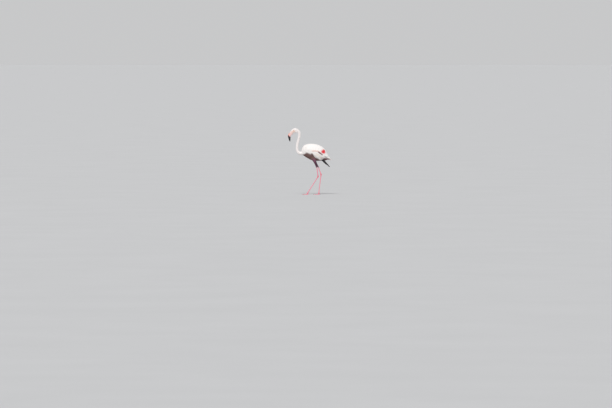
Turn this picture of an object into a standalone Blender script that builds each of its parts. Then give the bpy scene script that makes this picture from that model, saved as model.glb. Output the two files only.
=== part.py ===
"""Greater flamingo, a life-size standing model in mid stride, the neck in a slack S and the bill down.

The bird faces -X and its left side is -Y. The origin is on the floor, under the middle of the bird.
Every piece is a closed solid of its own, and neighbours keep a hair of clearance where they meet.
"""

import math

import bmesh
import bpy
from mathutils import Vector

# ---- Driving dimensions, in metres ----
CLEARANCE = 0.0004          # left between two pieces that meet
LEFT, RIGHT = -1, 1         # the side of the bird that a piece of a pair is on, as the sign of Y
ACROSS = Vector((0, 1, 0))

# Head and bill. The head's axis runs forward and down.
HEAD_CENTRE = Vector((-0.3475, 0, 1.0265))
HEAD_DROOP = math.radians(44)
BILL_BASE = Vector((-0.3875, 0, 0.9885))
BILL_STRAIGHT = 0.034       # from the base to the bend
BILL_BEND_RADIUS = 0.050
BILL_BEND = math.radians(54)
BILL_TIP_LENGTH = 0.075     # from the bend to the tip
BILL_BLACK_FROM = 0.50      # share of the bill's length
EYE_RADIUS = 0.0056
EYE_PLACE = (0.013, 0.0065)  # forward along the head's axis, and above it
EYE_OFFSET = 0.0205

# Trunk. Its stations are across an axis that runs back and down from the breast.
BREAST = Vector((-0.20, 0, 0.715))
BODY_TILT = math.radians(20)
TAIL_DROOP = math.radians(27)
WIDE_OF_THE_BODY = 0.2      # the reach to each side of a cut that goes right across

# Legs. The left foot is put forward, and the right one carries the bird.
TARSUS_RADIUS = 0.0062
TIBIA_RADIUS = 0.0072
LEG_POINTS = {
    LEFT: {
        "hip": (-0.044, 0.048, 0.590),
        "knee": (-0.011, 0.045, 0.508),
        "bare": (0.016, 0.036, 0.424),
        "ankle": (0.034, 0.026, 0.289),
        "foot": (-0.139, 0.022, 0.017),
    },
    RIGHT: {
        "hip": (-0.040, 0.048, 0.590),
        "knee": (-0.005, 0.047, 0.508),
        "bare": (0.042, 0.044, 0.432),
        "ankle": (0.082, 0.038, 0.318),
        "foot": (0.045, 0.012, 0.017),
    },
}
TOE_LENGTHS = (0.070, 0.082, 0.072)  # inner, middle, outer
TOE_SPREAD = math.radians(36)
WEB_THICKNESS = 0.0028
TOE_HEIGHT = 0.0075
TOE_HALF_WIDTH = 0.0046
HEEL_REACH = 0.013          # how far the sole goes back from the joint
HUB_RADIUS = 0.026          # the hump where the toes meet
HUB_HEIGHT = 0.0060
CLAW_LENGTH = 0.0085
CLAW_RADIUS = 0.0027
CLAW_TIP_HEIGHT = 0.0012
THIGH_RADII = (0.048, 0.038, 0.028, 0.0200, 0.0158, 0.0130, 0.0108, 0.0088)
THIGH_FLATNESS = 0.72       # its width over its depth
SHANK_FLATNESS = 0.88
KNUCKLE_FLATNESS = 0.85

# ---- Shapes given by a few stations ----
# Down the neck from the skull to the breast: x, z, half depth, half width.
NECK_STATIONS = (
    (-0.3220, 1.0190, 0.0345, 0.0225),
    (-0.2940, 1.0170, 0.0282, 0.0205),
    (-0.2715, 0.9960, 0.0216, 0.0188),
    (-0.2645, 0.9560, 0.0190, 0.0176),
    (-0.2690, 0.9160, 0.0185, 0.0172),
    (-0.2800, 0.8720, 0.0185, 0.0173),
    (-0.2925, 0.8280, 0.0190, 0.0178),
    (-0.3005, 0.7820, 0.0195, 0.0185),
    (-0.3015, 0.7340, 0.0205, 0.0195),
    (-0.2910, 0.6920, 0.0220, 0.0210),
    (-0.2650, 0.6640, 0.0245, 0.0240),
    (-0.2290, 0.6590, 0.0310, 0.0320),
    (-0.1880, 0.6800, 0.0440, 0.0460),
)
NECK_PARTINGS = (0.0, 0.30, 0.64, 1.0)  # shares of the neck's length

# The trunk without its wings: distance along the axis, top, bottom and half width.
TRUNK_STATIONS = (
    (-0.0275, 0.026, -0.010, 0.012),
    (-0.0190, 0.062, -0.045, 0.035),
    (0.0000, 0.088, -0.073, 0.052),
    (0.0400, 0.110, -0.087, 0.068),
    (0.1000, 0.128, -0.101, 0.080),
    (0.1700, 0.139, -0.111, 0.085),
    (0.2400, 0.135, -0.104, 0.079),
    (0.3100, 0.100, -0.072, 0.060),
    (0.3600, 0.067, -0.051, 0.045),
    (0.3950, 0.045, -0.036, 0.033),
    (0.4100, 0.028, -0.018, 0.016),
)

# The outer form of the folded wings over the trunk, in the same terms.
WING_STATIONS = (
    (-0.0150, 0.060, -0.040, 0.034),
    (0.0150, 0.098, -0.074, 0.065),
    (0.0600, 0.124, -0.084, 0.084),
    (0.1250, 0.146, -0.092, 0.096),
    (0.2000, 0.156, -0.098, 0.100),
    (0.2600, 0.150, -0.092, 0.095),
    (0.3200, 0.124, -0.078, 0.080),
    (0.3700, 0.078, -0.048, 0.060),
    (0.4100, 0.048, -0.018, 0.044),
    (0.4400, 0.033, -0.004, 0.030),
    (0.4560, 0.022, 0.006, 0.012),
)

# Side outlines of the two layers of a folded wing: x, z.
SCAPULAR_OUTLINE = (
    (-0.172, 0.752),
    (-0.135, 0.716),
    (-0.070, 0.700),
    (0.000, 0.697),
    (0.052, 0.684),
    (0.095, 0.650),
    (0.140, 0.620),
    (0.184, 0.598),
    (0.226, 0.640),
    (0.190, 0.760),
    (0.060, 0.860),
    (-0.120, 0.870),
    (-0.200, 0.810),
)
COVERT_OUTLINE = (
    (-0.184, 0.700),
    (-0.160, 0.670),
    (-0.110, 0.661),
    (-0.066, 0.655),
    (-0.030, 0.630),
    (0.005, 0.598),
    (0.042, 0.570),
    (0.076, 0.552),
    (0.112, 0.562),
    (0.138, 0.600),
    (0.110, 0.670),
    (0.040, 0.730),
    (-0.080, 0.745),
    (-0.160, 0.742),
)

# The bunch of black flight feathers: x, z, distance from the middle, half depth, half thickness.
FLIGHT_STATIONS = (
    (0.066, 0.598, 0.0600, 0.0180, 0.0045),
    (0.094, 0.572, 0.0600, 0.0240, 0.0065),
    (0.120, 0.542, 0.0540, 0.0165, 0.0060),
    (0.148, 0.512, 0.0470, 0.0145, 0.0050),
    (0.177, 0.482, 0.0400, 0.0125, 0.0040),
    (0.201, 0.458, 0.0350, 0.0085, 0.0028),
    (0.222, 0.439, 0.0320, 0.0022, 0.0012),
)

# The tail: x, z, half width, half thickness.
TAIL_STATIONS = (
    (0.128, 0.606, 0.022, 0.0220),
    (0.160, 0.598, 0.034, 0.0280),
    (0.195, 0.585, 0.044, 0.0255),
    (0.225, 0.572, 0.050, 0.0185),
    (0.247, 0.562, 0.046, 0.0105),
    (0.260, 0.555, 0.028, 0.0025),
)

COLOURS = {
    "plumage": ((0.86, 0.80, 0.77), 0.85),
    "plumage_pink": ((0.87, 0.66, 0.62), 0.85),
    "flight_black": ((0.020, 0.020, 0.024), 0.55),
    "bill_pink": ((0.86, 0.50, 0.46), 0.42),
    "bill_black": ((0.018, 0.016, 0.018), 0.35),
    "eye": ((0.80, 0.60, 0.12), 0.12),
    "leg_pink": ((0.86, 0.34, 0.36), 0.50),
    "claw": ((0.045, 0.032, 0.032), 0.45),
}


# ---- Curves and rings ----
def forward(angle):
    """The direction that points ahead of the bird and down by this angle."""
    return Vector((-math.cos(angle), 0, -math.sin(angle)))


def above(angle):
    """The direction at right angles to forward(angle), on its upper side."""
    return Vector((-math.sin(angle), 0, math.cos(angle)))


def through(rows, share):
    """A smooth curve through rows of numbers, at a share from 0 to 1 of its stations."""
    last = len(rows) - 1
    place = min(max(share, 0.0), 1.0) * last
    index = min(int(place), last - 1)
    t = place - index
    before, start = rows[max(index - 1, 0)], rows[index]
    end, after = rows[index + 1], rows[min(index + 2, last)]
    values = []
    for a, b, c, d in zip(before, start, end, after):
        bend = (2 * b) + (c - a) * t + (2 * a - 5 * b + 4 * c - d) * t * t
        values.append(0.5 * (bend + (3 * b - a - 3 * c + d) * t ** 3))
    return values


def ellipse(centre, side, up, half_width, half_height, count):
    """A closed ring round a centre."""
    ring = []
    for step in range(count):
        angle = 2 * math.pi * step / count
        across, rise = half_width * math.sin(angle), half_height * math.cos(angle)
        ring.append(centre + side * across + up * rise)
    return ring


def half_ring(centre, up, half_width, reach, count):
    """A D-shaped ring: a flat across the centre and an arch that reaches up, or down if negative."""
    ring = []
    for step in range(count):
        angle = math.pi * step / (count - 1)
        across, rise = math.cos(angle), math.sin(angle)
        ring.append(centre + Vector((0, half_width * across, 0)) + up * (reach * rise))
    return ring


# ---- Solids ----
def material(slot):
    """The finish of one kind of surface, made once."""
    found = bpy.data.materials.get(slot)
    if found:
        return found
    colour, roughness = COLOURS[slot]
    made = bpy.data.materials.new(slot)
    made.use_nodes = True
    shader = made.node_tree.nodes["Principled BSDF"]
    shader.inputs["Base Color"].default_value = (*colour, 1)
    shader.inputs["Roughness"].default_value = roughness
    return made


def solid(name, points, faces, slot):
    """A closed mesh object with its faces turned outwards."""
    mesh = bpy.data.meshes.new(name)
    mesh.from_pydata([tuple(p) for p in points], [], faces)
    work = bmesh.new()
    work.from_mesh(mesh)
    bmesh.ops.recalc_face_normals(work, faces=work.faces)
    work.to_mesh(mesh)
    work.free()
    mesh.materials.append(material(slot))
    mesh.shade_smooth()
    mesh.set_sharp_from_angle(angle=math.radians(50))
    made = bpy.data.objects.new(name, mesh)
    bpy.context.scene.collection.objects.link(made)
    return made


def loft(name, rings, slot):
    """A solid through rings of equal counts, with a fan of faces over each end."""
    count = len(rings[0])
    points = [point for ring in rings for point in ring]
    faces = []
    for row in range(len(rings) - 1):
        for step in range(count):
            following = (step + 1) % count
            low, high = row * count, (row + 1) * count
            faces.append((low + step, low + following, high + following, high + step))
    for ring, start in ((rings[0], 0), (rings[-1], (len(rings) - 1) * count)):
        middle = len(points)
        points.append(sum(ring, Vector()) / count)
        for step in range(count):
            faces.append((start + step, start + (step + 1) % count, middle))
    return solid(name, points, faces, slot)


def prism(name, outline, low_y, high_y):
    """A helper solid: a side outline, carried across the bird from one Y to another."""
    count = len(outline)
    points = [Vector((x, low_y, z)) for x, z in outline]
    points += [Vector((x, high_y, z)) for x, z in outline]
    faces = [tuple(range(count)), tuple(range(count, 2 * count))]
    for step in range(count):
        following = (step + 1) % count
        faces.append((step, following, count + following, count + step))
    return solid(name, points, faces, "plumage")


def grown(piece, by):
    """A helper copy of a piece, swollen along its normals."""
    mesh = piece.data.copy()
    places = [v.co + v.normal * by for v in mesh.vertices]
    for vertex, place in zip(mesh.vertices, places):
        vertex.co = place
    made = bpy.data.objects.new(piece.name + "_grown", mesh)
    bpy.context.scene.collection.objects.link(made)
    return made


def combine(piece, helpers, operation):
    """Cuts the helpers out of a piece, or keeps what lies in them, and removes the helpers."""
    for helper in helpers:
        modifier = piece.modifiers.new(operation.title(), "BOOLEAN")
        modifier.operation = operation
        modifier.solver = "EXACT"
        modifier.object = helper
    bpy.context.view_layer.update()
    graph = bpy.context.evaluated_depsgraph_get()
    mesh = bpy.data.meshes.new_from_object(piece.evaluated_get(graph))
    piece.modifiers.clear()
    piece.data = mesh
    for helper in helpers:
        bpy.data.objects.remove(helper)
    return piece


def clear_of(piece, *neighbours):
    """Cuts a piece back until it only just misses its neighbours."""
    return combine(piece, [grown(n, CLEARANCE) for n in neighbours], "DIFFERENCE")


# ---- The bird ----
def body_loft(name, stations, count, sides, slot):
    """A form with rings across the tilted axis of the body."""
    back = -forward(-BODY_TILT)
    up = above(-BODY_TILT)
    rings = []
    for step in range(count):
        along, top, bottom, half_width = through(stations, step / (count - 1))
        centre = BREAST + back * along + up * ((top + bottom) / 2)
        half_height = (top - bottom) / 2
        rings.append(ellipse(centre, ACROSS, up, half_width, half_height, sides))
    return loft(name, rings, slot)


def make_eye(side):
    """A ball set in the side of the head."""
    ahead, rise = EYE_PLACE
    centre = HEAD_CENTRE + forward(HEAD_DROOP) * ahead + above(HEAD_DROOP) * rise
    centre.y = side * EYE_OFFSET
    rings = []
    for step in range(1, 7):
        angle = math.pi * step / 7
        middle = centre + Vector((0, side * EYE_RADIUS * math.cos(angle), 0))
        radius = EYE_RADIUS * math.sin(angle)
        rings.append(ellipse(middle, Vector((1, 0, 0)), Vector((0, 0, 1)), radius, radius, 12))
    return loft("eye_left" if side == LEFT else "eye_right", rings, "eye")


def make_head(eyes):
    """An egg along the head's axis, narrower towards the bill, with a socket for each eye."""
    stations = (
        (-0.0480, 0.0040, 0.0040, -0.0080),
        (-0.0440, 0.0150, 0.0125, -0.0080),
        (-0.0325, 0.0285, 0.0205, -0.0097),
        (-0.0130, 0.0370, 0.0248, -0.0083),
        (0.0080, 0.0385, 0.0255, -0.0040),
        (0.0270, 0.0352, 0.0228, -0.0014),
        (0.0420, 0.0300, 0.0188, -0.0004),
        (0.0547, 0.0255, 0.0152, 0.0004),
    )
    ahead, up = forward(HEAD_DROOP), above(HEAD_DROOP)
    rings = []
    for step in range(14):
        along, half_height, half_width, rise = through(stations, step / 13)
        centre = HEAD_CENTRE + ahead * along + up * rise
        rings.append(ellipse(centre, ACROSS, up, half_width, half_height, 18))
    return clear_of(loft("head", rings, "plumage"), *eyes)


def bill_frame(share):
    """A point on the bill's middle line and the upper side's direction there, at a share of its length."""
    bend_length = BILL_BEND_RADIUS * BILL_BEND
    along = share * (BILL_STRAIGHT + bend_length + BILL_TIP_LENGTH)
    point = BILL_BASE + forward(HEAD_DROOP) * min(along, BILL_STRAIGHT)
    turned = min(max(along - BILL_STRAIGHT, 0) / BILL_BEND_RADIUS, BILL_BEND)
    heading = HEAD_DROOP + turned
    point = point + (above(HEAD_DROOP) - above(heading)) * -BILL_BEND_RADIUS
    point = point + forward(heading) * max(along - BILL_STRAIGHT - bend_length, 0)
    return point, above(heading)


def bill_section(share):
    """Half depth, half width and the height of the gape, across the bill."""
    stations = (
        (0.0255, 0.0148, 0.0105),
        (0.0243, 0.0148, 0.0092),
        (0.0230, 0.0152, 0.0070),
        (0.0200, 0.0152, 0.0046),
        (0.0162, 0.0136, 0.0024),
        (0.0112, 0.0105, 0.0008),
        (0.0040, 0.0040, 0.0000),
    )
    return through(stations, share)


def make_bill():
    """The thin upper half over the deep lower one, each with its black end."""
    lengths = (("", 0.0, BILL_BLACK_FROM, 8, "bill_pink"), ("_tip", BILL_BLACK_FROM, 1.0, 10, "bill_black"))
    spare = CLEARANCE / 2 / 0.14
    for ending, start, stop, count, slot in lengths:
        for half, sign in (("upper", 1), ("lower", -1)):
            rings = []
            for step in range(count):
                share = start + spare + (stop - start - 2 * spare) * step / (count - 1)
                point, up = bill_frame(share)
                depth, width, gape = bill_section(share)
                reach = sign * depth - gape
                parted = point + up * (gape + sign * CLEARANCE / 2)
                fuller = width if sign < 0 else width * 0.94
                rings.append(half_ring(parted, up, fuller, reach, 11))
            loft("bill_" + half + ending, rings, slot)


def make_neck(head, trunk):
    """The neck in three lengths, cut back to the head at one end and to the breast at the other."""
    names = ("neck_upper", "neck_middle", "neck_lower")
    spare = CLEARANCE / 2 / 0.6
    pieces = []
    for name, start, stop in zip(names, NECK_PARTINGS[:-1], NECK_PARTINGS[1:]):
        rings = []
        for step in range(10):
            share = start + spare + (stop - start - 2 * spare) * step / 9
            x, z, depth, width = through(NECK_STATIONS, share)
            x_after, z_after = through(NECK_STATIONS, share + 0.002)[:2]
            x_before, z_before = through(NECK_STATIONS, share - 0.002)[:2]
            along = Vector((x_after - x_before, 0, z_after - z_before)).normalized()
            up = along.cross(ACROSS)
            rings.append(ellipse(Vector((x, 0, z)), ACROSS, up, width, depth, 14))
        pieces.append(loft(name, rings, "plumage"))
    clear_of(pieces[0], head)
    clear_of(pieces[2], trunk)
    return pieces


def make_wing_layer(name, side, outline, swell, slot, *inner):
    """One layer of a folded wing: a shell with a side outline, over the trunk and the layers beneath."""
    stations = [(s, top + swell, bottom - swell, half + swell) for s, top, bottom, half in WING_STATIONS]
    shell = body_loft(name, stations, 15, 24, slot)
    near, far = side * 0.0006, side * WIDE_OF_THE_BODY
    combine(shell, [prism("outline", outline, min(near, far), max(near, far))], "INTERSECT")
    return clear_of(shell, *inner)


def make_flight_feathers(side, *neighbours):
    """The closed bunch of black primaries, from under the coverts to its point."""
    rings = []
    for step in range(13):
        x, z, offset, depth, thickness = through(FLIGHT_STATIONS, step / 12)
        x_next, z_next = through(FLIGHT_STATIONS, step / 12 + 0.01)[:2]
        x_last, z_last = through(FLIGHT_STATIONS, step / 12 - 0.01)[:2]
        along = Vector((x_next - x_last, 0, z_next - z_last)).normalized()
        up = along.cross(Vector((0, -1, 0)))
        centre = Vector((x, side * offset, z))
        rings.append(ellipse(centre, ACROSS, up, thickness, depth, 12))
    name = "primaries_left" if side == LEFT else "primaries_right"
    return clear_of(loft(name, rings, "flight_black"), *neighbours)


def make_tail(trunk):
    """A short closed fan that comes out from under the wings."""
    rings = []
    for step in range(10):
        x, z, half_width, thickness = through(TAIL_STATIONS, step / 9)
        rings.append(ellipse(Vector((x, 0, z)), ACROSS, above(-TAIL_DROOP), half_width, thickness, 20))
    tail = clear_of(loft("tail", rings, "plumage"), trunk)
    for outline in (SCAPULAR_OUTLINE, COVERT_OUTLINE):
        cover = prism("cover", outline, -WIDE_OF_THE_BODY, WIDE_OF_THE_BODY)
        combine(tail, [grown(cover, 2 * CLEARANCE)], "DIFFERENCE")
        bpy.data.objects.remove(cover)
    return tail


def leg_rings(start, stop, radii, sides, flatness=1.0):
    """Rings from one point to another, with a radius at equal steps."""
    along = (stop - start).normalized()
    side = (ACROSS - along * ACROSS.dot(along)).normalized()
    up = along.cross(side)
    count = 2 * len(radii) - 1
    rings = []
    for step in range(count):
        share = step / (count - 1)
        radius = through([(r,) for r in radii], share)[0]
        rings.append(ellipse(start.lerp(stop, share), side, up, radius * flatness, radius, sides))
    return rings


def make_leg(side, suffix, *neighbours):
    """Feathered thigh, bare shin, ankle joint and tarsus of one leg."""
    points = {k: Vector((x, side * y, z)) for k, (x, y, z) in LEG_POINTS[side].items()}
    thigh_line = [points["hip"], points["knee"], points["bare"]]
    rings = []
    for step, radius in enumerate(THIGH_RADII):
        share = step / (len(THIGH_RADII) - 1)
        centre = Vector(through([tuple(p) for p in thigh_line], share))
        ahead = Vector(through([tuple(p) for p in thigh_line], share + 0.02))
        behind = Vector(through([tuple(p) for p in thigh_line], share - 0.02))
        along = (ahead - behind).normalized()
        across = (ACROSS - along * ACROSS.dot(along)).normalized()
        rings.append(ellipse(centre, across, along.cross(across), radius * THIGH_FLATNESS, radius, 16))
    thigh = clear_of(loft("thigh_" + suffix, rings, "plumage"), *neighbours)

    shin = (points["ankle"] - points["bare"]).normalized()
    tarsus = (points["foot"] - points["ankle"]).normalized()
    start = points["bare"] - shin * 0.003
    end = points["ankle"] - shin * 0.011
    shin_radii = (TIBIA_RADIUS * 1.05, TIBIA_RADIUS, TIBIA_RADIUS, TIBIA_RADIUS * 1.05, TIBIA_RADIUS * 1.25)
    clear_of(loft("shin_" + suffix, leg_rings(start, end, shin_radii, 12), "leg_pink"), thigh)

    start = end + shin * CLEARANCE
    bend = points["ankle"] + tarsus * 0.013
    above_joint = leg_rings(start, points["ankle"], (0.0091, 0.0112, 0.0122), 12, KNUCKLE_FLATNESS)
    below_joint = leg_rings(points["ankle"], bend, (0.0120, 0.0106, 0.0088), 12, KNUCKLE_FLATNESS)
    knuckle = above_joint[:-1] + below_joint[1:]
    loft("ankle_" + suffix, knuckle, "leg_pink")

    start = bend + tarsus * CLEARANCE
    end = points["foot"]
    tarsus_radii = (0.0086, TARSUS_RADIUS, TARSUS_RADIUS, TARSUS_RADIUS, TARSUS_RADIUS * 1.02, 0.0085)
    shank = loft("tarsus_" + suffix, leg_rings(start, end, tarsus_radii, 12, SHANK_FLATNESS), "leg_pink")
    return points["foot"], shank


def toe_reach(angle):
    """How far the webbed foot reaches from its joint, at an angle from the middle toe."""
    spread = angle / TOE_SPREAD
    inner, middle, outer = TOE_LENGTHS
    end = inner if spread < 0 else outer
    share = min(abs(spread), 1.0)
    straight = middle + (end - middle) * share
    scallop = 0.19 * math.sin(math.pi * share) ** 0.8
    return straight * (1 - scallop)


def make_foot(side, suffix, joint, shank):
    """Three webbed toes with a flat sole. The toes stand up as ridges from the thin web."""
    fan = TOE_SPREAD + math.radians(4)
    spokes, steps = 24, 8
    points, faces = [], []

    def height(distance, angle, reach):
        ridge = 0.0
        for toe in (-TOE_SPREAD, 0.0, TOE_SPREAD):
            away = distance * math.sin(min(abs(angle - toe), math.pi / 2))
            width = TOE_HALF_WIDTH * (1.15 - 0.45 * distance / reach)
            ridge = max(ridge, math.sqrt(max(0.0, 1 - (away / width) ** 2)))
        hub = max(0.0, 1 - (distance / HUB_RADIUS) ** 2)
        taper = 1 - 0.35 * distance / reach
        return WEB_THICKNESS + (TOE_HEIGHT * taper - WEB_THICKNESS) * ridge + HUB_HEIGHT * hub

    angles = [-fan + 2 * fan * step / spokes for step in range(spokes + 1)]
    back = [fan + (2 * math.pi - 2 * fan) * step / 8 for step in range(1, 8)]
    around = [(a, toe_reach(max(-TOE_SPREAD, min(TOE_SPREAD, a)))) for a in angles]
    around += [(a, HEEL_REACH) for a in back]
    top_start = 1
    points.append(Vector((0, 0, height(0, 0, 1))))
    for ring in range(1, steps + 1):
        for angle, reach in around:
            distance = reach * ring / steps
            turned = angle if abs(angle) <= fan else math.pi
            rise = height(distance, turned, reach) if ring < steps else WEB_THICKNESS * 0.6
            points.append(Vector((-distance * math.cos(angle), side * distance * math.sin(angle), rise)))
    count = len(around)
    bottom_start = len(points)
    for angle, reach in around:
        points.append(Vector((-reach * math.cos(angle), side * reach * math.sin(angle), 0)))
    points.append(Vector((0, 0, 0)))
    for step in range(count):
        following = (step + 1) % count
        faces.append((0, top_start + step, top_start + following))
        for ring in range(steps - 1):
            low, high = top_start + ring * count, top_start + (ring + 1) * count
            faces.append((low + step, high + step, high + following, low + following))
        rim = top_start + (steps - 1) * count
        faces.append((rim + step, bottom_start + step, bottom_start + following, rim + following))
        faces.append((bottom_start + step, len(points) - 1, bottom_start + following))
    centre = Vector((joint.x, joint.y, 0))
    foot = solid("foot_" + suffix, [p + centre for p in points], faces, "leg_pink")
    clear_of(shank, foot)
    make_claws(side, suffix, centre)
    make_hallux(side, suffix, centre, joint, shank)
    return foot


def claw(name, root, along):
    """A short nail that tapers and bends down to the floor."""
    rings = []
    for step in range(4):
        share = step / 3
        centre = root + along * (CLAW_LENGTH * share)
        centre.z = root.z - (root.z - CLAW_TIP_HEIGHT) * share ** 2
        size = CLAW_RADIUS * (1 - 0.78 * share)
        across = along.cross(Vector((0, 0, 1))).normalized()
        rings.append(ellipse(centre, across, Vector((0, 0, 1)), size, size * 0.8, 6))
    return loft(name, rings, "claw")


def make_claws(side, suffix, centre):
    """One nail past the end of each front toe."""
    toes = zip(("inner", "middle", "outer"), (-TOE_SPREAD, 0.0, TOE_SPREAD), TOE_LENGTHS)
    for label, angle, reach in toes:
        along = Vector((-math.cos(angle), side * math.sin(angle), 0))
        root = centre + along * (reach + CLEARANCE) + Vector((0, 0, 0.0030))
        claw("claw_" + label + "_" + suffix, root, along)


def make_hallux(side, suffix, centre, joint, shank):
    """The small hind toe, raised behind the joint."""
    start = Vector((joint.x + 0.0085, joint.y, 0.0185))
    stop = Vector((joint.x + 0.0240, joint.y, 0.0075))
    toe = loft("hind_toe_" + suffix, leg_rings(start, stop, (0.0036, 0.0032, 0.0024), 8), "leg_pink")
    clear_of(toe, shank)
    along = (stop - start).normalized()
    root = stop + along * CLEARANCE
    nail = leg_rings(root, root + along * 0.0055, (0.0020, 0.0014, 0.0004), 8)
    loft("claw_hind_" + suffix, nail, "claw")


def stand_on_origin():
    """Moves every piece so that the origin is on the floor, under the middle of the bird."""
    corners = [v.co for o in bpy.data.objects for v in o.data.vertices]
    middle_x = (min(c.x for c in corners) + max(c.x for c in corners)) / 2
    middle_y = (min(c.y for c in corners) + max(c.y for c in corners)) / 2
    shift = Vector((-middle_x, -middle_y, -min(c.z for c in corners)))
    for piece in bpy.data.objects:
        for vertex in piece.data.vertices:
            vertex.co += shift


def build():
    for old in list(bpy.data.objects):
        bpy.data.objects.remove(old)
    eyes = [make_eye(LEFT), make_eye(RIGHT)]
    head = make_head(eyes)
    make_bill()
    trunk = body_loft("trunk", TRUNK_STATIONS, 20, 24, "plumage")
    make_neck(head, trunk)
    scapulars, coverts = {}, {}
    for side, suffix in ((LEFT, "left"), (RIGHT, "right")):
        name = "scapulars_" + suffix
        scapulars[side] = make_wing_layer(name, side, SCAPULAR_OUTLINE, 0.0025, "plumage", trunk)
        name = "wing_" + suffix
        coverts[side] = make_wing_layer(
            name, side, COVERT_OUTLINE, 0.0, "plumage_pink", trunk, scapulars[side]
        )
    tail = make_tail(trunk)
    for side, suffix in ((LEFT, "left"), (RIGHT, "right")):
        joint, shank = make_leg(side, suffix, trunk, coverts[side])
        make_foot(side, suffix, joint, shank)
        thigh = bpy.data.objects["thigh_" + suffix]
        make_flight_feathers(side, trunk, coverts[side], scapulars[side], tail, thigh)
    stand_on_origin()


build()
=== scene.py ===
import math

import bmesh
import bpy
import numpy as np
from mathutils import Matrix, Vector
from mathutils.bvhtree import BVHTree


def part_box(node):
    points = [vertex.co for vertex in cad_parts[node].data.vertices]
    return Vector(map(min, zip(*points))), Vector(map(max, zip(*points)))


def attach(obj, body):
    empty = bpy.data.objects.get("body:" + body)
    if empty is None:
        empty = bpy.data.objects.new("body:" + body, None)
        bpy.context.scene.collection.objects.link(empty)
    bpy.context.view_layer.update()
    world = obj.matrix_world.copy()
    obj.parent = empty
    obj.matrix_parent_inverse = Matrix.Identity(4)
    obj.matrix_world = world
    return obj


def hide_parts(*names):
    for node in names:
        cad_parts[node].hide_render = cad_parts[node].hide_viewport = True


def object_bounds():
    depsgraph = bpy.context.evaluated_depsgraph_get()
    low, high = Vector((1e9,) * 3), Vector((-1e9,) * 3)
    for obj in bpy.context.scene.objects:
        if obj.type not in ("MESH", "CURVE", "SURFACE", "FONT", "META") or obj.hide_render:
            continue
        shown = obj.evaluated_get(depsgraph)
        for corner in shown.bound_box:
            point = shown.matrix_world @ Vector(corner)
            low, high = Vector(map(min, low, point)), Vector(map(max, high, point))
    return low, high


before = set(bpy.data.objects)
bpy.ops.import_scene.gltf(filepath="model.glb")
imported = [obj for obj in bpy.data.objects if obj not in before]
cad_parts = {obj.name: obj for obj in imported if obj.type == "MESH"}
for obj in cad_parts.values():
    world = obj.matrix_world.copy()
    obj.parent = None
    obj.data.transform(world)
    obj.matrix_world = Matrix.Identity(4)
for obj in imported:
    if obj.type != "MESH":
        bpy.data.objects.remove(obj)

# Greater flamingo, a museum figure in mid stride. It faces -X, and its left side is -Y.
cadLow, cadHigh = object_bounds()
chance = np.random.default_rng(11)
across = Vector((0, 1, 0))
sideNames = {-1: "left", 1: "right"}

headForm = {
    "centre": (-0.3475, 1.0265),    # x and z in the solids' own build, before the bird is centred
    "droop": math.radians(44),
    "eyeAhead": 0.013,
    "eyeAbove": 0.0065,
}


def ahead(angle):
    return Vector((-math.cos(angle), 0, -math.sin(angle)))


def above(angle):
    return Vector((-math.sin(angle), 0, math.cos(angle)))


def middleOf(node):
    low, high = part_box(node)
    return (low + high) / 2


headAhead, headUp = ahead(headForm["droop"]), above(headForm["droop"])
headCentre = Vector((headForm["centre"][0], 0, headForm["centre"][1]))
eyeInBuild = headCentre + headAhead * headForm["eyeAhead"] + headUp * headForm["eyeAbove"]
shift = middleOf("eye_left").x - eyeInBuild.x    # from the solids' own build to where the bird stands
headCentre.x += shift


def curveThrough(rows, shares):
    # a smooth curve through rows of numbers, at shares from 0 to 1
    rows = np.array(rows, float)
    last = len(rows) - 1
    place = np.clip(np.atleast_1d(shares), 0, 1) * last
    index = np.minimum(place.astype(int), last - 1)
    t = (place - index)[:, None]
    a, b = rows[np.maximum(index - 1, 0)], rows[index]
    c, d = rows[index + 1], rows[np.minimum(index + 2, last)]
    bend = 2 * b + (c - a) * t + (2 * a - 5 * b + 4 * c - d) * t ** 2
    return 0.5 * (bend + (3 * b - a - 3 * c + d) * t ** 3)


def smoothStep(low, high, value):
    t = np.clip((value - low) / (high - low), 0, 1)
    return t * t * (3 - 2 * t)


def unit(vectors):
    if vectors.ndim == 1:
        return vectors / np.linalg.norm(vectors)
    return vectors / np.linalg.norm(vectors, axis=-1, keepdims=True)


# the line that the plumage follows, from the bill over the neck to the tail
spineRows = [
    (-0.3900, 0.9860), (-0.3475, 1.0285), (-0.3180, 1.0340), (-0.2940, 1.0200), (-0.2715, 0.9960),
    (-0.2645, 0.9560), (-0.2690, 0.9160), (-0.2800, 0.8720), (-0.2925, 0.8280), (-0.3005, 0.7820),
    (-0.3015, 0.7340), (-0.2910, 0.6920), (-0.2650, 0.6640), (-0.2290, 0.6610), (-0.1920, 0.6920),
    (-0.1500, 0.7060), (-0.1010, 0.6935), (-0.0355, 0.6700), (0.0310, 0.6475), (0.0960, 0.6222),
    (0.1410, 0.6000), (0.1950, 0.5850), (0.2600, 0.5550),
]
spineSteps = np.linspace(0, 1, 600)
spineLine = curveThrough(spineRows, spineSteps) + np.array([shift, 0])
spineTangent = unit(np.gradient(spineLine, axis=0))
spineReach = np.concatenate([[0], np.cumsum(np.linalg.norm(np.diff(spineLine, axis=0), axis=1))])
spineReach /= spineReach[-1]

legRows = {
    "left": [(-0.044, -0.048, 0.590), (-0.011, -0.045, 0.508), (0.016, -0.036, 0.424),
             (0.034, -0.026, 0.289), (-0.139, -0.022, 0.017)],
    "right": [(-0.040, 0.048, 0.590), (-0.005, 0.047, 0.508), (0.042, 0.044, 0.432),
              (0.082, 0.038, 0.318), (0.045, 0.012, 0.017)],
}
legLines = {name: np.array(rows) + np.array([shift, 0, 0]) for name, rows in legRows.items()}
legSides = ((-1, legLines["left"]), (1, legLines["right"]))


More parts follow.
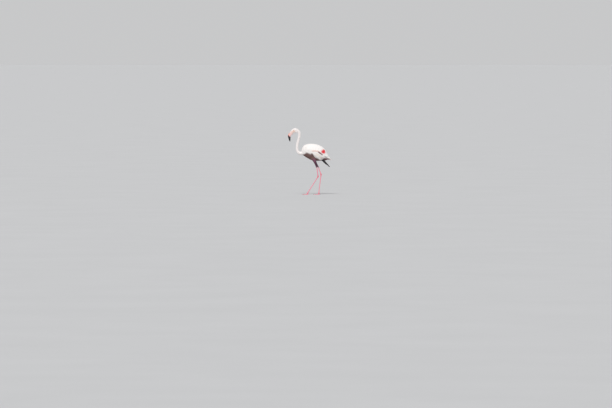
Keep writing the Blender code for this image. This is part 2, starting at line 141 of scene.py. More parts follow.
def nearestOnSpine(points):
    index = np.empty(len(points), int)
    atOnce = 4000    # points, to spare memory
    for start in range(0, len(points), atOnce):
        block = points[start:start + atOnce]
        gap = (block[:, None, 0] - spineLine[None, :, 0]) ** 2
        gap += (block[:, None, 2] - spineLine[None, :, 1]) ** 2
        index[start:start + atOnce] = gap.argmin(1)
    return index


def alongLimb(points, line):
    # how far down a bent line each point is, in metres, and how far from it
    best = np.full(len(points), 1e9)
    along = np.zeros(len(points))
    passed = 0.0
    for start, stop in zip(line[:-1], line[1:]):
        span = stop - start
        length = np.linalg.norm(span)
        share = np.clip((points - start) @ span / length ** 2, 0, 1)
        gap = np.linalg.norm(points - (start + share[:, None] * span), axis=1)
        nearer = gap < best
        best[nearer] = gap[nearer]
        along[nearer] = (passed + share * length)[nearer]
        passed += length
    return along, best


# markings, the same for skin and feathers
markings = {
    "white": (0.940, 0.900, 0.876),
    "neckTint": (0.940, 0.865, 0.845),
    "cheek": (0.90, 0.65, 0.52),
    "covertPink": (0.90, 0.62, 0.54),
    "carmine": (0.80, 0.040, 0.055),
    # the dark feathers in the gap under the scapulars, with painted shade over them
    "underWingInShade": (0.17, 0.040, 0.050),
    # painted shade, with some mud stain, under the body and below the wing's edge
    "belly": (0.190, 0.112, 0.103),
    # the thighs' own colour, darkened with the painted shadow of the body above them
    "thigh": (0.128, 0.056, 0.088),
    # painted shade in the gap between the tertials and the secondaries
    "tertialGapShade": (0.82, 0.67, 0.50),
    "thighBlush": (0.30, 0.125, 0.185),
    "thighEnd": (0.88, 0.33, 0.40),
    # painted shade of the tail's underside
    "tailUnderShade": (0.27, 0.155, 0.160),
    "black": (0.020, 0.018, 0.022),
    "faceSkin": (0.90, 0.63, 0.56),
    "legSkin": (0.95, 0.32, 0.42),
    "legJoint": (0.90, 0.16, 0.22),
    "footSkin": (0.84, 0.24, 0.30),
    # painted shade: the skin inside the bill, dark where it shows in the gape
    "mouthInShade": (0.16, 0.05, 0.05),
    "lid": (0.78, 0.36, 0.33),
}
# how far a marking hides the white, where it isn't in full
strengths = {"cheek": 0.75, "covertPink": 0.75, "underWingInShade": 0.90, "tertialGapShade": 0.36, "carmine": 1.15,
             "tailUnderShade": 0.90, "thighBlush": 0.60}
# x and z in the solids' own build: ovals with their half sizes and unevenness, and lines with a half width
ovals = {
    "cheek": ((-0.353, 1.014), (0.034, 0.022), 0.0),
    "carmine": ((0.1245, 0.686), (0.047, 0.042), 0.15),
    "thighBlush": ((-0.026, 0.550), (0.044, 0.042), 0.2),
}
bands = {
    "covertPink": ([(-0.052, 0.6965), (0.000, 0.6975), (0.046, 0.692)], 0.017),
    # painted shade in the gap under the scapulars, over the dark feathers beneath
    "underWingInShade": ([(0.050, 0.680), (0.070, 0.660), (0.104, 0.640)], 0.0145),
    # painted shade along the gap between the tertials and the secondaries
    "tertialGapShade": ([(0.014, 0.642), (0.044, 0.632), (0.068, 0.610), (0.086, 0.590)], 0.026),
}
bellyShadeEdge = np.array([
    (-0.24, 0.622), (-0.20, 0.638), (-0.17, 0.658), (-0.15, 0.669), (-0.128, 0.664), (-0.108, 0.652),
    (-0.080, 0.646), (-0.062, 0.663), (-0.045, 0.646), (0.0, 0.632), (0.06, 0.620), (0.11, 0.596),
    (0.15, 0.578), (0.25, 0.550),
]).T    # the painted shade and mud stain of the belly lie below this line
fades = {
    "belly": (0.014, -0.016),          # above and below the edge of the belly
    "flank": (-0.030, -0.048),         # x: the belly's painted shade runs onto the front of the wing's own feathers
    "carmine": (0.020, 0.042),         # distance from the middle of the back
    "rearWing": (0.085, 0.135),        # x
    "rearTrunk": (0.000, 0.070),
    "facesDown": (0.05, 0.75),         # how far a surface turns, for the painted shade of the tail's underside
    "facesSideways": (0.55, 0.25),
    "under": (0.598, 0.582),           # z
    "stripe": (0.004, -0.006),         # above and below the tail's middle
    "thighTop": (0.535, 0.585),        # z
    "thighEnd": (0.444, 0.421),
}
neckTint = {"neck": 0.50, "breast": 0.12, "breastTo": -0.1}
tailShape = {
    "starts": (0.175, 0.215),
    "below": 0.66,
    "halfWidth": 0.0460,
    "middle": (0.210, 0.581),    # x and z of a place on its middle line, which slopes
    "slope": -0.49,
    "thinning": 0.88,
    "narrows": (0.212, 0.256),
    "narrowing": 0.38,
    "endsFrom": 0.205,
    "shortening": 0.74,
    "sunk": 0.0045,              # how much further the skin's end lies in than elsewhere
    "sunkFrom": (0.190, 0.245),
    "stripeBelow": 0.580,
}


def ovalAt(name, x, z):
    # 1 in the middle of an oval patch of the side view, and 0 outside it
    (middleX, middleZ), (halfX, halfZ), unevenness = ovals[name]
    away = np.hypot((x - middleX) / halfX, (z - middleZ) / halfZ)
    away += unevenness * np.sin(x * 230 + 3 * np.sin(z * 150))
    return 1 - smoothStep(0.40, 1.0, away)


def bandAt(name, x, z):
    # 1 along a line of the side view, fading out to each side
    line, halfWidth = bands[name]
    points = np.stack([x, np.zeros_like(x), z], 1)
    away = alongLimb(points, np.array([(px, 0, pz) for px, pz in line]))[1]
    return 1 - smoothStep(0.3, 1.0, away / halfWidth)


def fade(name, values):
    return smoothStep(*fades[name], values)


def tailMiddle(x):
    # the height of the tail's middle
    return tailShape["middle"][1] + (x - tailShape["middle"][0]) * tailShape["slope"]


def markingsAt(points, normals, region):
    # the colour of the bird at each point of its surface, with painted shade under the body, on the thighs,
    # under the tail and in the wing's gaps
    x, y, z = points[:, 0] - shift, points[:, 1], points[:, 2]
    neck, wing = np.isin(region, ("neck", "head")), np.isin(region, ("wing", "back"))
    trunk, thigh = region == "trunk", region == "thigh"
    result = np.tile(np.array(markings["white"]), (len(points), 1))

    def blendIn(name, where, share=1.0):
        amount = np.where(where, np.clip(share * strengths.get(name, 1.0), 0, 1), 0)
        result[:] += (np.array(markings[name]) - result) * amount[:, None]

    onBreast = neckTint["breast"] * (x < neckTint["breastTo"])
    blendIn("neckTint", True, np.where(neck, neckTint["neck"], onBreast))
    blendIn("cheek", region == "head", ovalAt("cheek", x, z))
    # painted shade with some mud stain below the belly's edge, reaching onto the front of the wing
    shadeAndStain = fade("belly", z - np.interp(x, *bellyShadeEdge))
    blendIn("belly", trunk | wing, shadeAndStain * np.where(wing, fade("flank", x), 1))
    # bands on the wing: the pink coverts, and painted shade in the gaps under the scapulars and between the
    # tertials and secondaries
    for name in bands:
        blendIn(name, wing, bandAt(name, x, z))
    blendIn("carmine", wing, ovalAt("carmine", x, z) * fade("carmine", np.abs(y)))
    # painted shade: the underside of the tail is darker where it faces down, and shows as a stripe along its
    # side
    rear = np.where(wing, fade("rearWing", x), fade("rearTrunk", x))
    under = fade("facesDown", -normals[:, 2]) * fade("under", z)
    stripe = fade("stripe", z - np.minimum(tailMiddle(x), tailShape["stripeBelow"]))
    stripe = np.where(wing, 0, stripe * fade("facesSideways", normals[:, 2]))
    blendIn("tailUnderShade", trunk | wing | (region == "tail"), rear * np.maximum(under, stripe))
    # painted shadow of the body on the thighs: dark overall, with the belly's painted shade at their top
    blendIn("thigh", thigh)
    blendIn("belly", thigh, fade("thighTop", z))
    blendIn("thighBlush", thigh, ovalAt("thighBlush", x, z))
    blendIn("thighEnd", thigh, fade("thighEnd", z))
    return result


# materials
def put(value, socket):
    # a plain value, or another node's output, into a socket
    if isinstance(value, (int, float, tuple)):
        socket.default_value = value
    elif value is not None:
        socket.id_data.links.new(value, socket)


def nodeIn(tree, kind, inputs=(), **settings):
    node = tree.nodes.new("ShaderNode" + kind)
    for key, value in settings.items():
        setattr(node, key, value)
    for label, value in dict(inputs).items():
        put(value, node.inputs[label])
    return node


def mathIn(tree, operation, *values):
    return nodeIn(tree, "Math", enumerate(values), operation=operation).outputs[0]


def mixIn(tree, factor, first, second, mode="MIX"):
    inputs = {0: factor, 6: first, 7: second}
    return nodeIn(tree, "Mix", inputs, data_type="RGBA", blend_type=mode).outputs[2]


def rangeIn(tree, *values):
    # a value, its low and high, and the low and high that they turn into
    return nodeIn(tree, "MapRange", enumerate(values)).outputs[0]


def noiseIn(tree, scale, detail=2.0, place=None, **inputs):
    place = place or nodeIn(tree, "TexCoord").outputs["Object"]
    inputs = {"Vector": place, "Scale": scale, "Detail": detail, **inputs}
    return nodeIn(tree, "TexNoise", inputs).outputs[0]


def attributeIn(tree, name, kind="Fac"):
    return nodeIn(tree, "Attribute", attribute_name=name).outputs[kind]


def scaledIn(tree, colour, amount):
    return nodeIn(tree, "VectorMath", {0: colour, "Scale": amount}, operation="SCALE").outputs[0]


def rampIn(tree, value, stops):
    node = nodeIn(tree, "ValToRGB", {0: value})
    elements = node.color_ramp.elements
    while len(elements) < len(stops):
        elements.new(0.5)
    for element, (position, colour) in zip(elements, stops):
        element.position = position
        element.color = (*colour, 1)
    return node.outputs[0]


def newGroup(name, inputs, outputs):
    tree = bpy.data.node_groups.new(name, "ShaderNodeTree")
    for label, kind, value in inputs:
        socket = tree.interface.new_socket(label, in_out="INPUT", socket_type="NodeSocket" + kind)
        socket.default_value = value
    for label, kind in outputs:
        tree.interface.new_socket(label, in_out="OUTPUT", socket_type="NodeSocket" + kind)
    return tree, tree.nodes.new("NodeGroupInput").outputs, tree.nodes.new("NodeGroupOutput").inputs


def barbsGroup():
    # the fine slanting barbs of a vane, and the shaft down its middle
    inputs = [("Pitch", "Float", 0.16), ("Slant", "Float", 1.5)]
    tree, given, result = newGroup("featherBarbs", inputs, [("Height", "Float"), ("Shade", "Float")])
    place = nodeIn(tree, "UVMap", uv_map="vane").outputs[0]
    split = nodeIn(tree, "SeparateXYZ", {0: place}).outputs
    outward = mathIn(tree, "ABSOLUTE", split[0])
    slanted = mathIn(tree, "SUBTRACT", split[1], mathIn(tree, "MULTIPLY", outward, given["Slant"]))
    wobble = mathIn(tree, "MULTIPLY", noiseIn(tree, 3.0, 3.0, place), 0.35)
    turns = mathIn(tree, "DIVIDE", mathIn(tree, "ADD", slanted, wobble), given["Pitch"])
    wave = mathIn(tree, "SINE", mathIn(tree, "MULTIPLY", turns, 2 * math.pi))
    shaft = rangeIn(tree, outward, 0.0, 0.07, 1.0, 0.0)
    ridges = mathIn(tree, "MULTIPLY", wave, 0.3)
    put(mathIn(tree, "ADD", ridges, mathIn(tree, "MULTIPLY", shaft, 1.2)), result["Height"])
    put(rangeIn(tree, wave, -1.0, 1.0, 0.94, 1.0), result["Shade"])
    return tree


def mottleGroup():
    # soft uneven patches, so that no surface is one flat colour
    inputs = [("Color", "Color", (1, 1, 1, 1)), ("Scale", "Float", 40.0), ("Darkest", "Float", 0.85)]
    tree, given, result = newGroup("softMottle", inputs, [("Color", "Color"), ("Patches", "Float")])
    noise = noiseIn(tree, given["Scale"], 5.0, Roughness=0.6)
    spread = rangeIn(tree, noise, 0.35, 0.65, given["Darkest"])
    put(scaledIn(tree, given["Color"], spread), result["Color"])
    put(noise, result["Patches"])
    return tree


def platesGroup():
    # small horny plates with grooves between them
    outputs = [("Height", "Float"), ("Groove", "Float")]
    tree, given, result = newGroup("hornyPlates", [("Scale", "Float", 400.0)], outputs)
    inputs = {"Vector": nodeIn(tree, "TexCoord").outputs["Object"], "Scale": given["Scale"]}
    edge = nodeIn(tree, "TexVoronoi", inputs, feature="DISTANCE_TO_EDGE").outputs["Distance"]
    put(rangeIn(tree, edge, 0.0, 0.16, 0.0, 1.0), result["Height"])
    put(rangeIn(tree, edge, 0.0, 0.10, 1.0, 0.0), result["Groove"])
    return tree


groups = {"barbs": barbsGroup(), "mottle": mottleGroup(), "plates": platesGroup()}


def placeGroup(tree, name, **values):
    return nodeIn(tree, "Group", values, node_tree=groups[name]).outputs


def startMaterial(name, **sockets):
    made = bpy.data.materials.new(name)
    made.use_nodes = True
    shader = made.node_tree.nodes["Principled BSDF"]
    for label, value in sockets.items():
        put(value, shader.inputs[label.replace("_", " ")])
    return made, made.node_tree, shader


def dress(shader, colour, roughness, height=None, bump=()):
    # bump is the relief's strength and its depth in metres
    put(colour, shader.inputs["Base Color"])
    put(roughness, shader.inputs["Roughness"])
    if height is not None:
        inputs = {"Strength": bump[0], "Distance": bump[1], "Height": height}
        put(nodeIn(shader.id_data, "Bump", inputs).outputs[0], shader.inputs["Normal"])


def plumageMaterial(name, pitch, slant):
    look = {"gloss": 0.14, "rough": (0.64, 0.80), "mottle": 55.0, "darkest": 0.94, "bump": (0.45, 0.00014)}
    made, tree, shader = startMaterial(name, Specular_IOR_Level=look["gloss"])
    marking = attributeIn(tree, "marking", "Color")
    mottle = placeGroup(tree, "mottle", Color=marking, Scale=look["mottle"], Darkest=look["darkest"])
    barbs = placeGroup(tree, "barbs", Pitch=pitch, Slant=slant)
    rough = rangeIn(tree, mottle["Patches"], 0.3, 0.7, *look["rough"])
    dress(shader, scaledIn(tree, mottle["Color"], barbs["Shade"]), rough, barbs["Height"], look["bump"])
    return made


def flightMaterial():
    look = {"gloss": 0.22, "rough": (0.56, 0.44), "pitch": 0.08, "mottle": 70.0, "darkest": 0.7,
            "bump": (0.6, 0.0002)}
    made, tree, shader = startMaterial("flightVane", Specular_IOR_Level=look["gloss"])
    marking = attributeIn(tree, "marking", "Color")
    mottle = placeGroup(tree, "mottle", Color=marking, Scale=look["mottle"], Darkest=look["darkest"])
    barbs = placeGroup(tree, "barbs", Pitch=look["pitch"])
    rough = rangeIn(tree, barbs["Shade"], 0.94, 1.0, *look["rough"])
    dress(shader, mottle["Color"], rough, barbs["Height"], look["bump"])
    return made


def skinMaterial():
    look = {"gloss": 0.4, "rough": (0.46, 0.62), "plates": 620.0, "mottle": 120.0, "darkest": 0.80,
            "groove": (0.42, 0.10, 0.12, 1), "grooveShare": 0.20, "creases": 260.0, "creaseHeight": 1.6,
            "grain": 900.0, "grainHeight": 0.30, "bump": (0.5, 0.0003)}
    made, tree, shader = startMaterial("birdSkin", Specular_IOR_Level=look["gloss"], Subsurface_Weight=0.06,
                                       Subsurface_Scale=0.004)
    marking, scaly = attributeIn(tree, "marking", "Color"), attributeIn(tree, "scaly")
    mottle = placeGroup(tree, "mottle", Color=marking, Scale=look["mottle"], Darkest=look["darkest"])
    plates = placeGroup(tree, "plates", Scale=look["plates"])
    groove = mathIn(tree, "MULTIPLY", plates["Groove"], mathIn(tree, "MULTIPLY", scaly, look["grooveShare"]))
    # plates on the legs, and folds and fine grain where the skin is bare
    height = mathIn(tree, "MULTIPLY", plates["Height"], scaly)
    creases = noiseIn(tree, look["creases"], 4.0, Distortion=0.8)
    folds = mathIn(tree, "MULTIPLY", creases, mathIn(tree, "SUBTRACT", 1.0, scaly))
    grain = mathIn(tree, "MULTIPLY", noiseIn(tree, look["grain"]), look["grainHeight"])
    height = mathIn(tree, "ADD", height, grain)
    height = mathIn(tree, "ADD", height, mathIn(tree, "MULTIPLY", folds, look["creaseHeight"]))
    rough = rangeIn(tree, mottle["Patches"], 0.3, 0.7, *look["rough"])
    dress(shader, mixIn(tree, groove, mottle["Color"], look["groove"]), rough, height, look["bump"])
    return made


def billMaterial():
    look = {"gloss": 0.32, "rough": (0.28, 0.44), "coat": 0.08, "blackFrom": 0.425, "wander": 0.012,
            "mottle": 170.0, "darkest": 0.86, "glow": (0.93, 0.36, 0.16, 1), "slit": (0.05, 0.02, 0.02, 1),
            "grain": 420.0, "bump": (0.35, 0.0004)}
    made, tree, shader = startMaterial("billHorn", Coat_Weight=look["coat"], Coat_Roughness=0.25,
                                       Specular_IOR_Level=look["gloss"])
    wander = rangeIn(tree, noiseIn(tree, 90.0, 4.0), 0.3, 0.7, -look["wander"], look["wander"])
    black = look["blackFrom"]
    stops = [(0.0, (0.92, 0.66, 0.62)), (0.18, (0.93, 0.64, 0.62)), (black - 0.05, (0.93, 0.58, 0.56)),
             (black, (0.88, 0.36, 0.34)), (black + 0.022, (0.10, 0.030, 0.034)),
             (black + 0.09, (0.008, 0.007, 0.009)), (1.0, (0.010, 0.009, 0.011))]
    horn = rampIn(tree, mathIn(tree, "ADD", attributeIn(tree, "billShare"), wander), stops)
    warm = mixIn(tree, attributeIn(tree, "frontGlow"), horn, look["glow"])
    mottle = placeGroup(tree, "mottle", Color=warm, Scale=look["mottle"], Darkest=look["darkest"])
    grain = noiseIn(tree, look["grain"], 6.0)
    # painted shade in the nostril's opening, a dark slit
    base = mixIn(tree, attributeIn(tree, "slit"), mottle["Color"], look["slit"])
    dress(shader, base, rangeIn(tree, grain, 0.3, 0.7, *look["rough"]), grain, look["bump"])
    return made


def eyeMaterial():
    look = {"gloss": 0.6, "rough": 0.12, "fibres": 1500.0, "fibre": (0.35, 0.16, 0.02, 1)}
    made, tree, shader = startMaterial("wetEye", Coat_Weight=1.0, Coat_Roughness=0.03,
                                       Specular_IOR_Level=look["gloss"])
    stops = [(0.0, (0.004, 0.004, 0.005)), (0.38, (0.004, 0.004, 0.005)), (0.42, (0.45, 0.25, 0.02)),
             (0.58, (0.86, 0.66, 0.16)), (0.72, (0.78, 0.50, 0.09)), (0.78, (0.10, 0.05, 0.03)),
             (1.0, (0.30, 0.16, 0.14))]    # pupil, iris and the rim behind the lids
    iris = rampIn(tree, attributeIn(tree, "ring"), stops)
    fibres = rangeIn(tree, noiseIn(tree, look["fibres"]), 0.35, 0.65, 0.0, 0.4)
    dress(shader, mixIn(tree, fibres, iris, look["fibre"], "MULTIPLY"), look["rough"])
    return made


def hornMaterial():
    look = {"gloss": 0.5, "rough": (0.34, 0.52), "colour": (0.075, 0.045, 0.042, 1), "mottle": 600.0,
            "darkest": 0.55, "bump": (0.3, 0.0002)}
    made, tree, shader = startMaterial("clawHorn", Specular_IOR_Level=look["gloss"])
    mottle = placeGroup(tree, "mottle", Color=look["colour"], Scale=look["mottle"], Darkest=look["darkest"])
    rough = rangeIn(tree, mottle["Patches"], 0.3, 0.7, *look["rough"])
    dress(shader, mottle["Color"], rough, mottle["Patches"], look["bump"])
    return made


paints = {
    "down": plumageMaterial("downyPlumage", 0.05, 4.0),
    "vane": plumageMaterial("vanePlumage", 0.06, 1.6),
    "flight": flightMaterial(),
    "skin": skinMaterial(),
    "bill": billMaterial(),
    "eye": eyeMaterial(),
    "claw": hornMaterial(),
}
print("materials made")


# mesh helpers
def addObject(name, data):
    made = bpy.data.objects.new(name, data)
    bpy.context.scene.collection.objects.link(made)
    return made


def newPiece(name, mesh, paint, slot, replaced=()):
    mesh.materials.clear()
    mesh.materials.append(paints[paint])
    made = addObject(name, mesh)
    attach(made, "root")
    if replaced:
        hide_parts(*replaced)
    return made


def meshFrom(work, name):
    mesh = bpy.data.meshes.new(name)
    work.to_mesh(mesh)
    work.free()
    return mesh


def closedMesh(name, points, sides, ends=()):
    # a smooth mesh whose faces all look outwards
    mesh = bpy.data.meshes.new(name)
    mesh.from_pydata([tuple(p) for p in points], [], [tuple(face) for face in (*sides, *ends)])
    mesh.update()
    mesh.shade_smooth()
    work = bmesh.new()
    work.from_mesh(mesh)
    bmesh.ops.recalc_face_normals(work, faces=work.faces)
    work.to_mesh(mesh)
    work.free()
    return mesh


def tubeFaces(rings, columns):
    # the sides of a tube whose rings have this many columns, and its two ends
    sides = []
    for low in range(0, (rings - 1) * columns, columns):
        for step in range(columns):
            other = (step + 1) % columns
            sides.append((low + step, low + other, low + columns + other, low + columns + step))
    return sides, [range(columns)[::-1], range((rings - 1) * columns, rings * columns)]


def setFloats(mesh, name, values):
    layer = mesh.attributes.new(name, "FLOAT", "POINT")
    layer.data.foreach_set("value", np.asarray(values, np.float32))


def setColours(mesh, name, values):
    layer = mesh.attributes.new(name, "FLOAT_COLOR", "POINT")
    full = np.concatenate([values, np.ones((len(values), 1))], 1)
    layer.data.foreach_set("color", full.astype(np.float32).ravel())


def pointsOf(mesh, what="co"):
    values = np.empty(len(mesh.vertices) * 3, np.float32)
    mesh.vertices.foreach_get(what, values)
    return values.reshape(-1, 3).astype(float)


def placePoints(mesh, points):
    # returns the points and normals that the mesh then has
    mesh.vertices.foreach_set("co", np.asarray(points, np.float32).ravel())
    mesh.update()
    return pointsOf(mesh), pointsOf(mesh, "normal")


def edgesOf(mesh):
    ends = np.empty(len(mesh.edges) * 2, np.int32)
    mesh.edges.foreach_get("vertices", ends)
    return ends.reshape(-1, 2)


def neighbourSum(values, edges, count):
    total = np.bincount(edges[:, 0], values[edges[:, 1]], count)
    total += np.bincount(edges[:, 1], values[edges[:, 0]], count)
    return total


def neighbourCount(edges, count):
    return np.maximum(np.bincount(edges.ravel(), minlength=count), 1).astype(float)


def averaged(values, edges, rounds):
    # spreads values over a mesh along its edges
    values = np.array(values, float)
    degree = neighbourCount(edges, len(values))
    for _ in range(rounds):
        values = 0.5 * values + 0.5 * neighbourSum(values, edges, len(values)) / degree
    return values


def relaxed(points, edges, rounds, strength=0.5):
    # smooths a surface, and swells it back a little so that it keeps its bulk
    count = len(points)
    degree = neighbourCount(edges, count)
    for turn in range(rounds * 2):
        pull = strength if turn % 2 == 0 else -strength * 1.03
        middle = np.stack([neighbourSum(column, edges, count) / degree for column in points.T], 1)
        points = points + (middle - points) * pull
    return points


def addBall(work, place, sizes, direction=None):
    # an oval with these half sizes, its third axis along the direction
    placed = Matrix.Translation(place)
    if direction is not None:
        placed @= Vector(direction).to_track_quat("Z", "Y").to_matrix().to_4x4()
    bmesh.ops.create_icosphere(work, subdivisions=4, radius=1, matrix=placed @ Matrix.Diagonal((*sizes, 1)))


def remeshed(work, voxel):
    # one closed skin round all that the work mesh holds
    holder = addObject("joined", meshFrom(work, "joined"))
    modifier = holder.modifiers.new("Remesh", "REMESH")
    modifier.mode = "VOXEL"
    modifier.voxel_size = voxel
    bpy.context.view_layer.update()
    result = bpy.data.meshes.new_from_object(holder.evaluated_get(bpy.context.evaluated_depsgraph_get()))
    bpy.data.objects.remove(holder)
    return result


# skin
skinForm = {
    "bodyVoxel": 0.0024,
    "legVoxel": 0.0009,
    "bodySmoothing": 14,
    "legSmoothing": 4,
    "blending": 14,          # rounds that even out the depth and the edge of the bill
    "bareOutTo": (0.30, 0.80),
    "mouthFrom": (0.82, 0.97),
    "shade": 0.92,           # darker than the feathers over it
    "depth": {"head": 0.0012, "neck": 0.0020, "trunk": 0.0040, "back": 0.0042, "wing": 0.0036,
              "tail": 0.0016, "thigh": 0.0022, "bill": 0.0016},    # how far it lies inside the solids
    # x, y, z, reach and rounds of more smoothing where two solids meet, on both sides where y isn't 0
    "softSpots": [(-0.303, 0, 1.038, 0.036, 40), (-0.315, 0, 0.988, 0.034, 70),
                  (-0.285, 0, 1.034, 0.030, 60), (-0.150, 0.045, 0.735, 0.045, 40),
                  (-0.172, 0.060, 0.705, 0.050, 40), (-0.044, 0.050, 0.605, 0.056, 80),
                  (-0.078, 0.045, 0.568, 0.042, 60), (-0.006, 0.050, 0.572, 0.042, 50),
                  (-0.200, 0, 0.690, 0.060, 30), (0.185, 0, 0.600, 0.050, 50),
                  (-0.3860, 0, 0.9880, 0.034, 36), (-0.334, 0, 0.990, 0.030, 60)],
    # centres and half sizes of the soft masses that fill the nape and the throat
    "fillers": [((-0.3080, 0.0, 1.0295), (0.0240, 0.0195, 0.0270)),
                ((-0.2920, 0.0, 1.0260), (0.0165, 0.0180, 0.0195)),
                ((-0.3030, 0.0, 0.9993), (0.0240, 0.0145, 0.0125))],
    "headAbove": 0.965,      # the mesh is finer here
    "headBehind": 0.060,
}
regionOfNode = {"head": "head", "trunk": "trunk", "tail": "tail"}
regionOfNode.update({"neck_" + part: "neck" for part in ("upper", "middle", "lower")})
for sideName in sideNames.values():
    for part, region in (("scapulars_", "back"), ("wing_", "wing"), ("thigh_", "thigh")):
        regionOfNode[part + sideName] = region
fleshNodes = sorted(regionOfNode)
for part in ("upper", "upper_tip", "lower", "lower_tip"):
    regionOfNode["bill_" + part] = "bill"    # the skin runs on inside the bill as its core


def nodeTree(names):
    # a search tree over several solids, and the region that each of its faces belongs to
    corners, faces, regions = [], [], []
    for name in names:
        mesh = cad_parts[name].data
        start = len(corners)
        corners += [v.co.copy() for v in mesh.vertices]
        faces += [[start + i for i in face.vertices] for face in mesh.polygons]
        regions += [regionOfNode[name]] * len(mesh.polygons)
    return BVHTree.FromPolygons(corners, faces), np.array(regions)


solidTree, solidRegions = nodeTree(sorted(regionOfNode))


def regionsAt(points):
    return solidRegions[np.array([solidTree.find_nearest(Vector(p))[2] for p in points])]


faceForm = {    # metres ahead of the head's middle, and above it
    "starts": (0.004, 0.012),
    "rise": 0.004,
    "halfHeight": 0.0075,
    "widensFrom": 0.010,
    "widening": 0.30,
    "edge": (0.75, 1.1),
}


def bareFace(points):
    # 1 on the bare skin between the eye and the bill
    offset = points - np.array(headCentre)
    along, rise = offset @ np.array(headAhead), offset @ np.array(headUp)
    spread = faceForm["halfHeight"] + np.clip(along - faceForm["widensFrom"], 0, 1) * faceForm["widening"]
    height = 1 - smoothStep(*faceForm["edge"], np.abs(rise - faceForm["rise"]) / spread)
    return height * smoothStep(*faceForm["starts"], along)


def smoothNear(points, edges, x, y, z, reach, rounds):
    # a joint between two solids is smoothed further, so that no step shows
    away = np.linalg.norm(points - np.array([x + shift, y, z]), axis=1)
    inside = away < reach * 1.1
    number = np.cumsum(inside) - 1
    own = number[edges[inside[edges].all(1)]]
    near = (1 - smoothStep(0.5, 1.0, away[inside] / reach))[:, None]
    part = points[inside]
    part += (relaxed(part, own, rounds, 0.62) - part) * near
    part += (np.stack([averaged(column, own, rounds) for column in part.T], 1) - part) * near * 0.7
    points[inside] = part


def tailShaped(points):
    # the tail thins to its side edges and is rounded at its end
    x = points[:, 0] - shift
    share = smoothStep(*tailShape["starts"], x) * (points[:, 2] < tailShape["below"])
    out = np.clip(np.abs(points[:, 1]) / tailShape["halfWidth"], 0, 1)
    thin = np.sqrt(1 - tailShape["thinning"] * out ** 2)
    shaped = points.copy()
    shaped[:, 2] += (tailMiddle(x) - points[:, 2]) * (1 - thin) * share
    shaped[:, 1] *= 1 - tailShape["narrowing"] * smoothStep(*tailShape["narrows"], x)
    shaped[:, 0] -= np.maximum(x - tailShape["endsFrom"], 0) * (1 - tailShape["shortening"])
    return shaped


thighShape = {"reach": (0.38, 0.50), "narrows": (0.492, 0.440), "narrowing": 0.14, "thinCoat": (0.50, 0.43),
              "thinning": 0.70}


def thighShaped(points):
    # the feathered part of each leg narrows towards the bare shin
    shaped = points.copy()
    low, high = thighShape["reach"]
    for side, line in legSides:
        own = (np.sign(points[:, 1]) == side) & (points[:, 2] < high) & (points[:, 2] > low)
        span = unit(line[2] - line[1])
        middle = line[1] + ((points[own] - line[1]) @ span)[:, None] * span
        shrink = thighShape["narrowing"] * smoothStep(*thighShape["narrows"], points[own][:, 2])
        shaped[own] += (middle - points[own]) * shrink[:, None]
    return shaped


def makeBodySkin():
    work = bmesh.new()
    for name in sorted(regionOfNode):
        work.from_mesh(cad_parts[name].data)
    for (x, y, z), sizes in skinForm["fillers"]:
        addBall(work, (x + shift, y, z), sizes)
    mesh = remeshed(work, skinForm["bodyVoxel"])
    work = bmesh.new()
    work.from_mesh(mesh)
    low, back = skinForm["headAbove"], headCentre.x + skinForm["headBehind"]
    finer = [edge for edge in work.edges if all(v.co.z > low and v.co.x < back for v in edge.verts)]
    bmesh.ops.subdivide_edges(work, edges=finer, cuts=1, use_grid_fill=True)
    mesh = meshFrom(work, "body")
    edges = edgesOf(mesh)
    points = relaxed(pointsOf(mesh), edges, skinForm["bodySmoothing"])
    for x, y, z, reach, rounds in skinForm["softSpots"]:
        for side in (-1, 1) if y else (1,):
            smoothNear(points, edges, x, side * y, z, reach, rounds)
    points, normals = placePoints(mesh, thighShaped(tailShaped(points)))
    regions = regionsAt(points)
    depth = np.array([skinForm["depth"][region] for region in regions])
    low = smoothStep(*thighShape["thinCoat"], points[:, 2])
    depth = np.where(regions == "thigh", depth * (1 - thighShape["thinning"] * low), depth)
    thin = tailShape["sunk"] * smoothStep(*tailShape["sunkFrom"], points[:, 0] - shift)
    depth = np.where(regions == "tail", depth + thin, depth)
    bare = bareFace(points) * np.isin(regions, ("head", "bill"))
    inBill = averaged(regions == "bill", edges, skinForm["blending"])
    uncovered = bare * (1 - smoothStep(*skinForm["bareOutTo"], inBill))
    sunk = averaged(depth, edges, skinForm["blending"]) * (1 - uncovered)
    placePoints(mesh, points - normals * sunk[:, None])
    return mesh, regions, bare, inBill


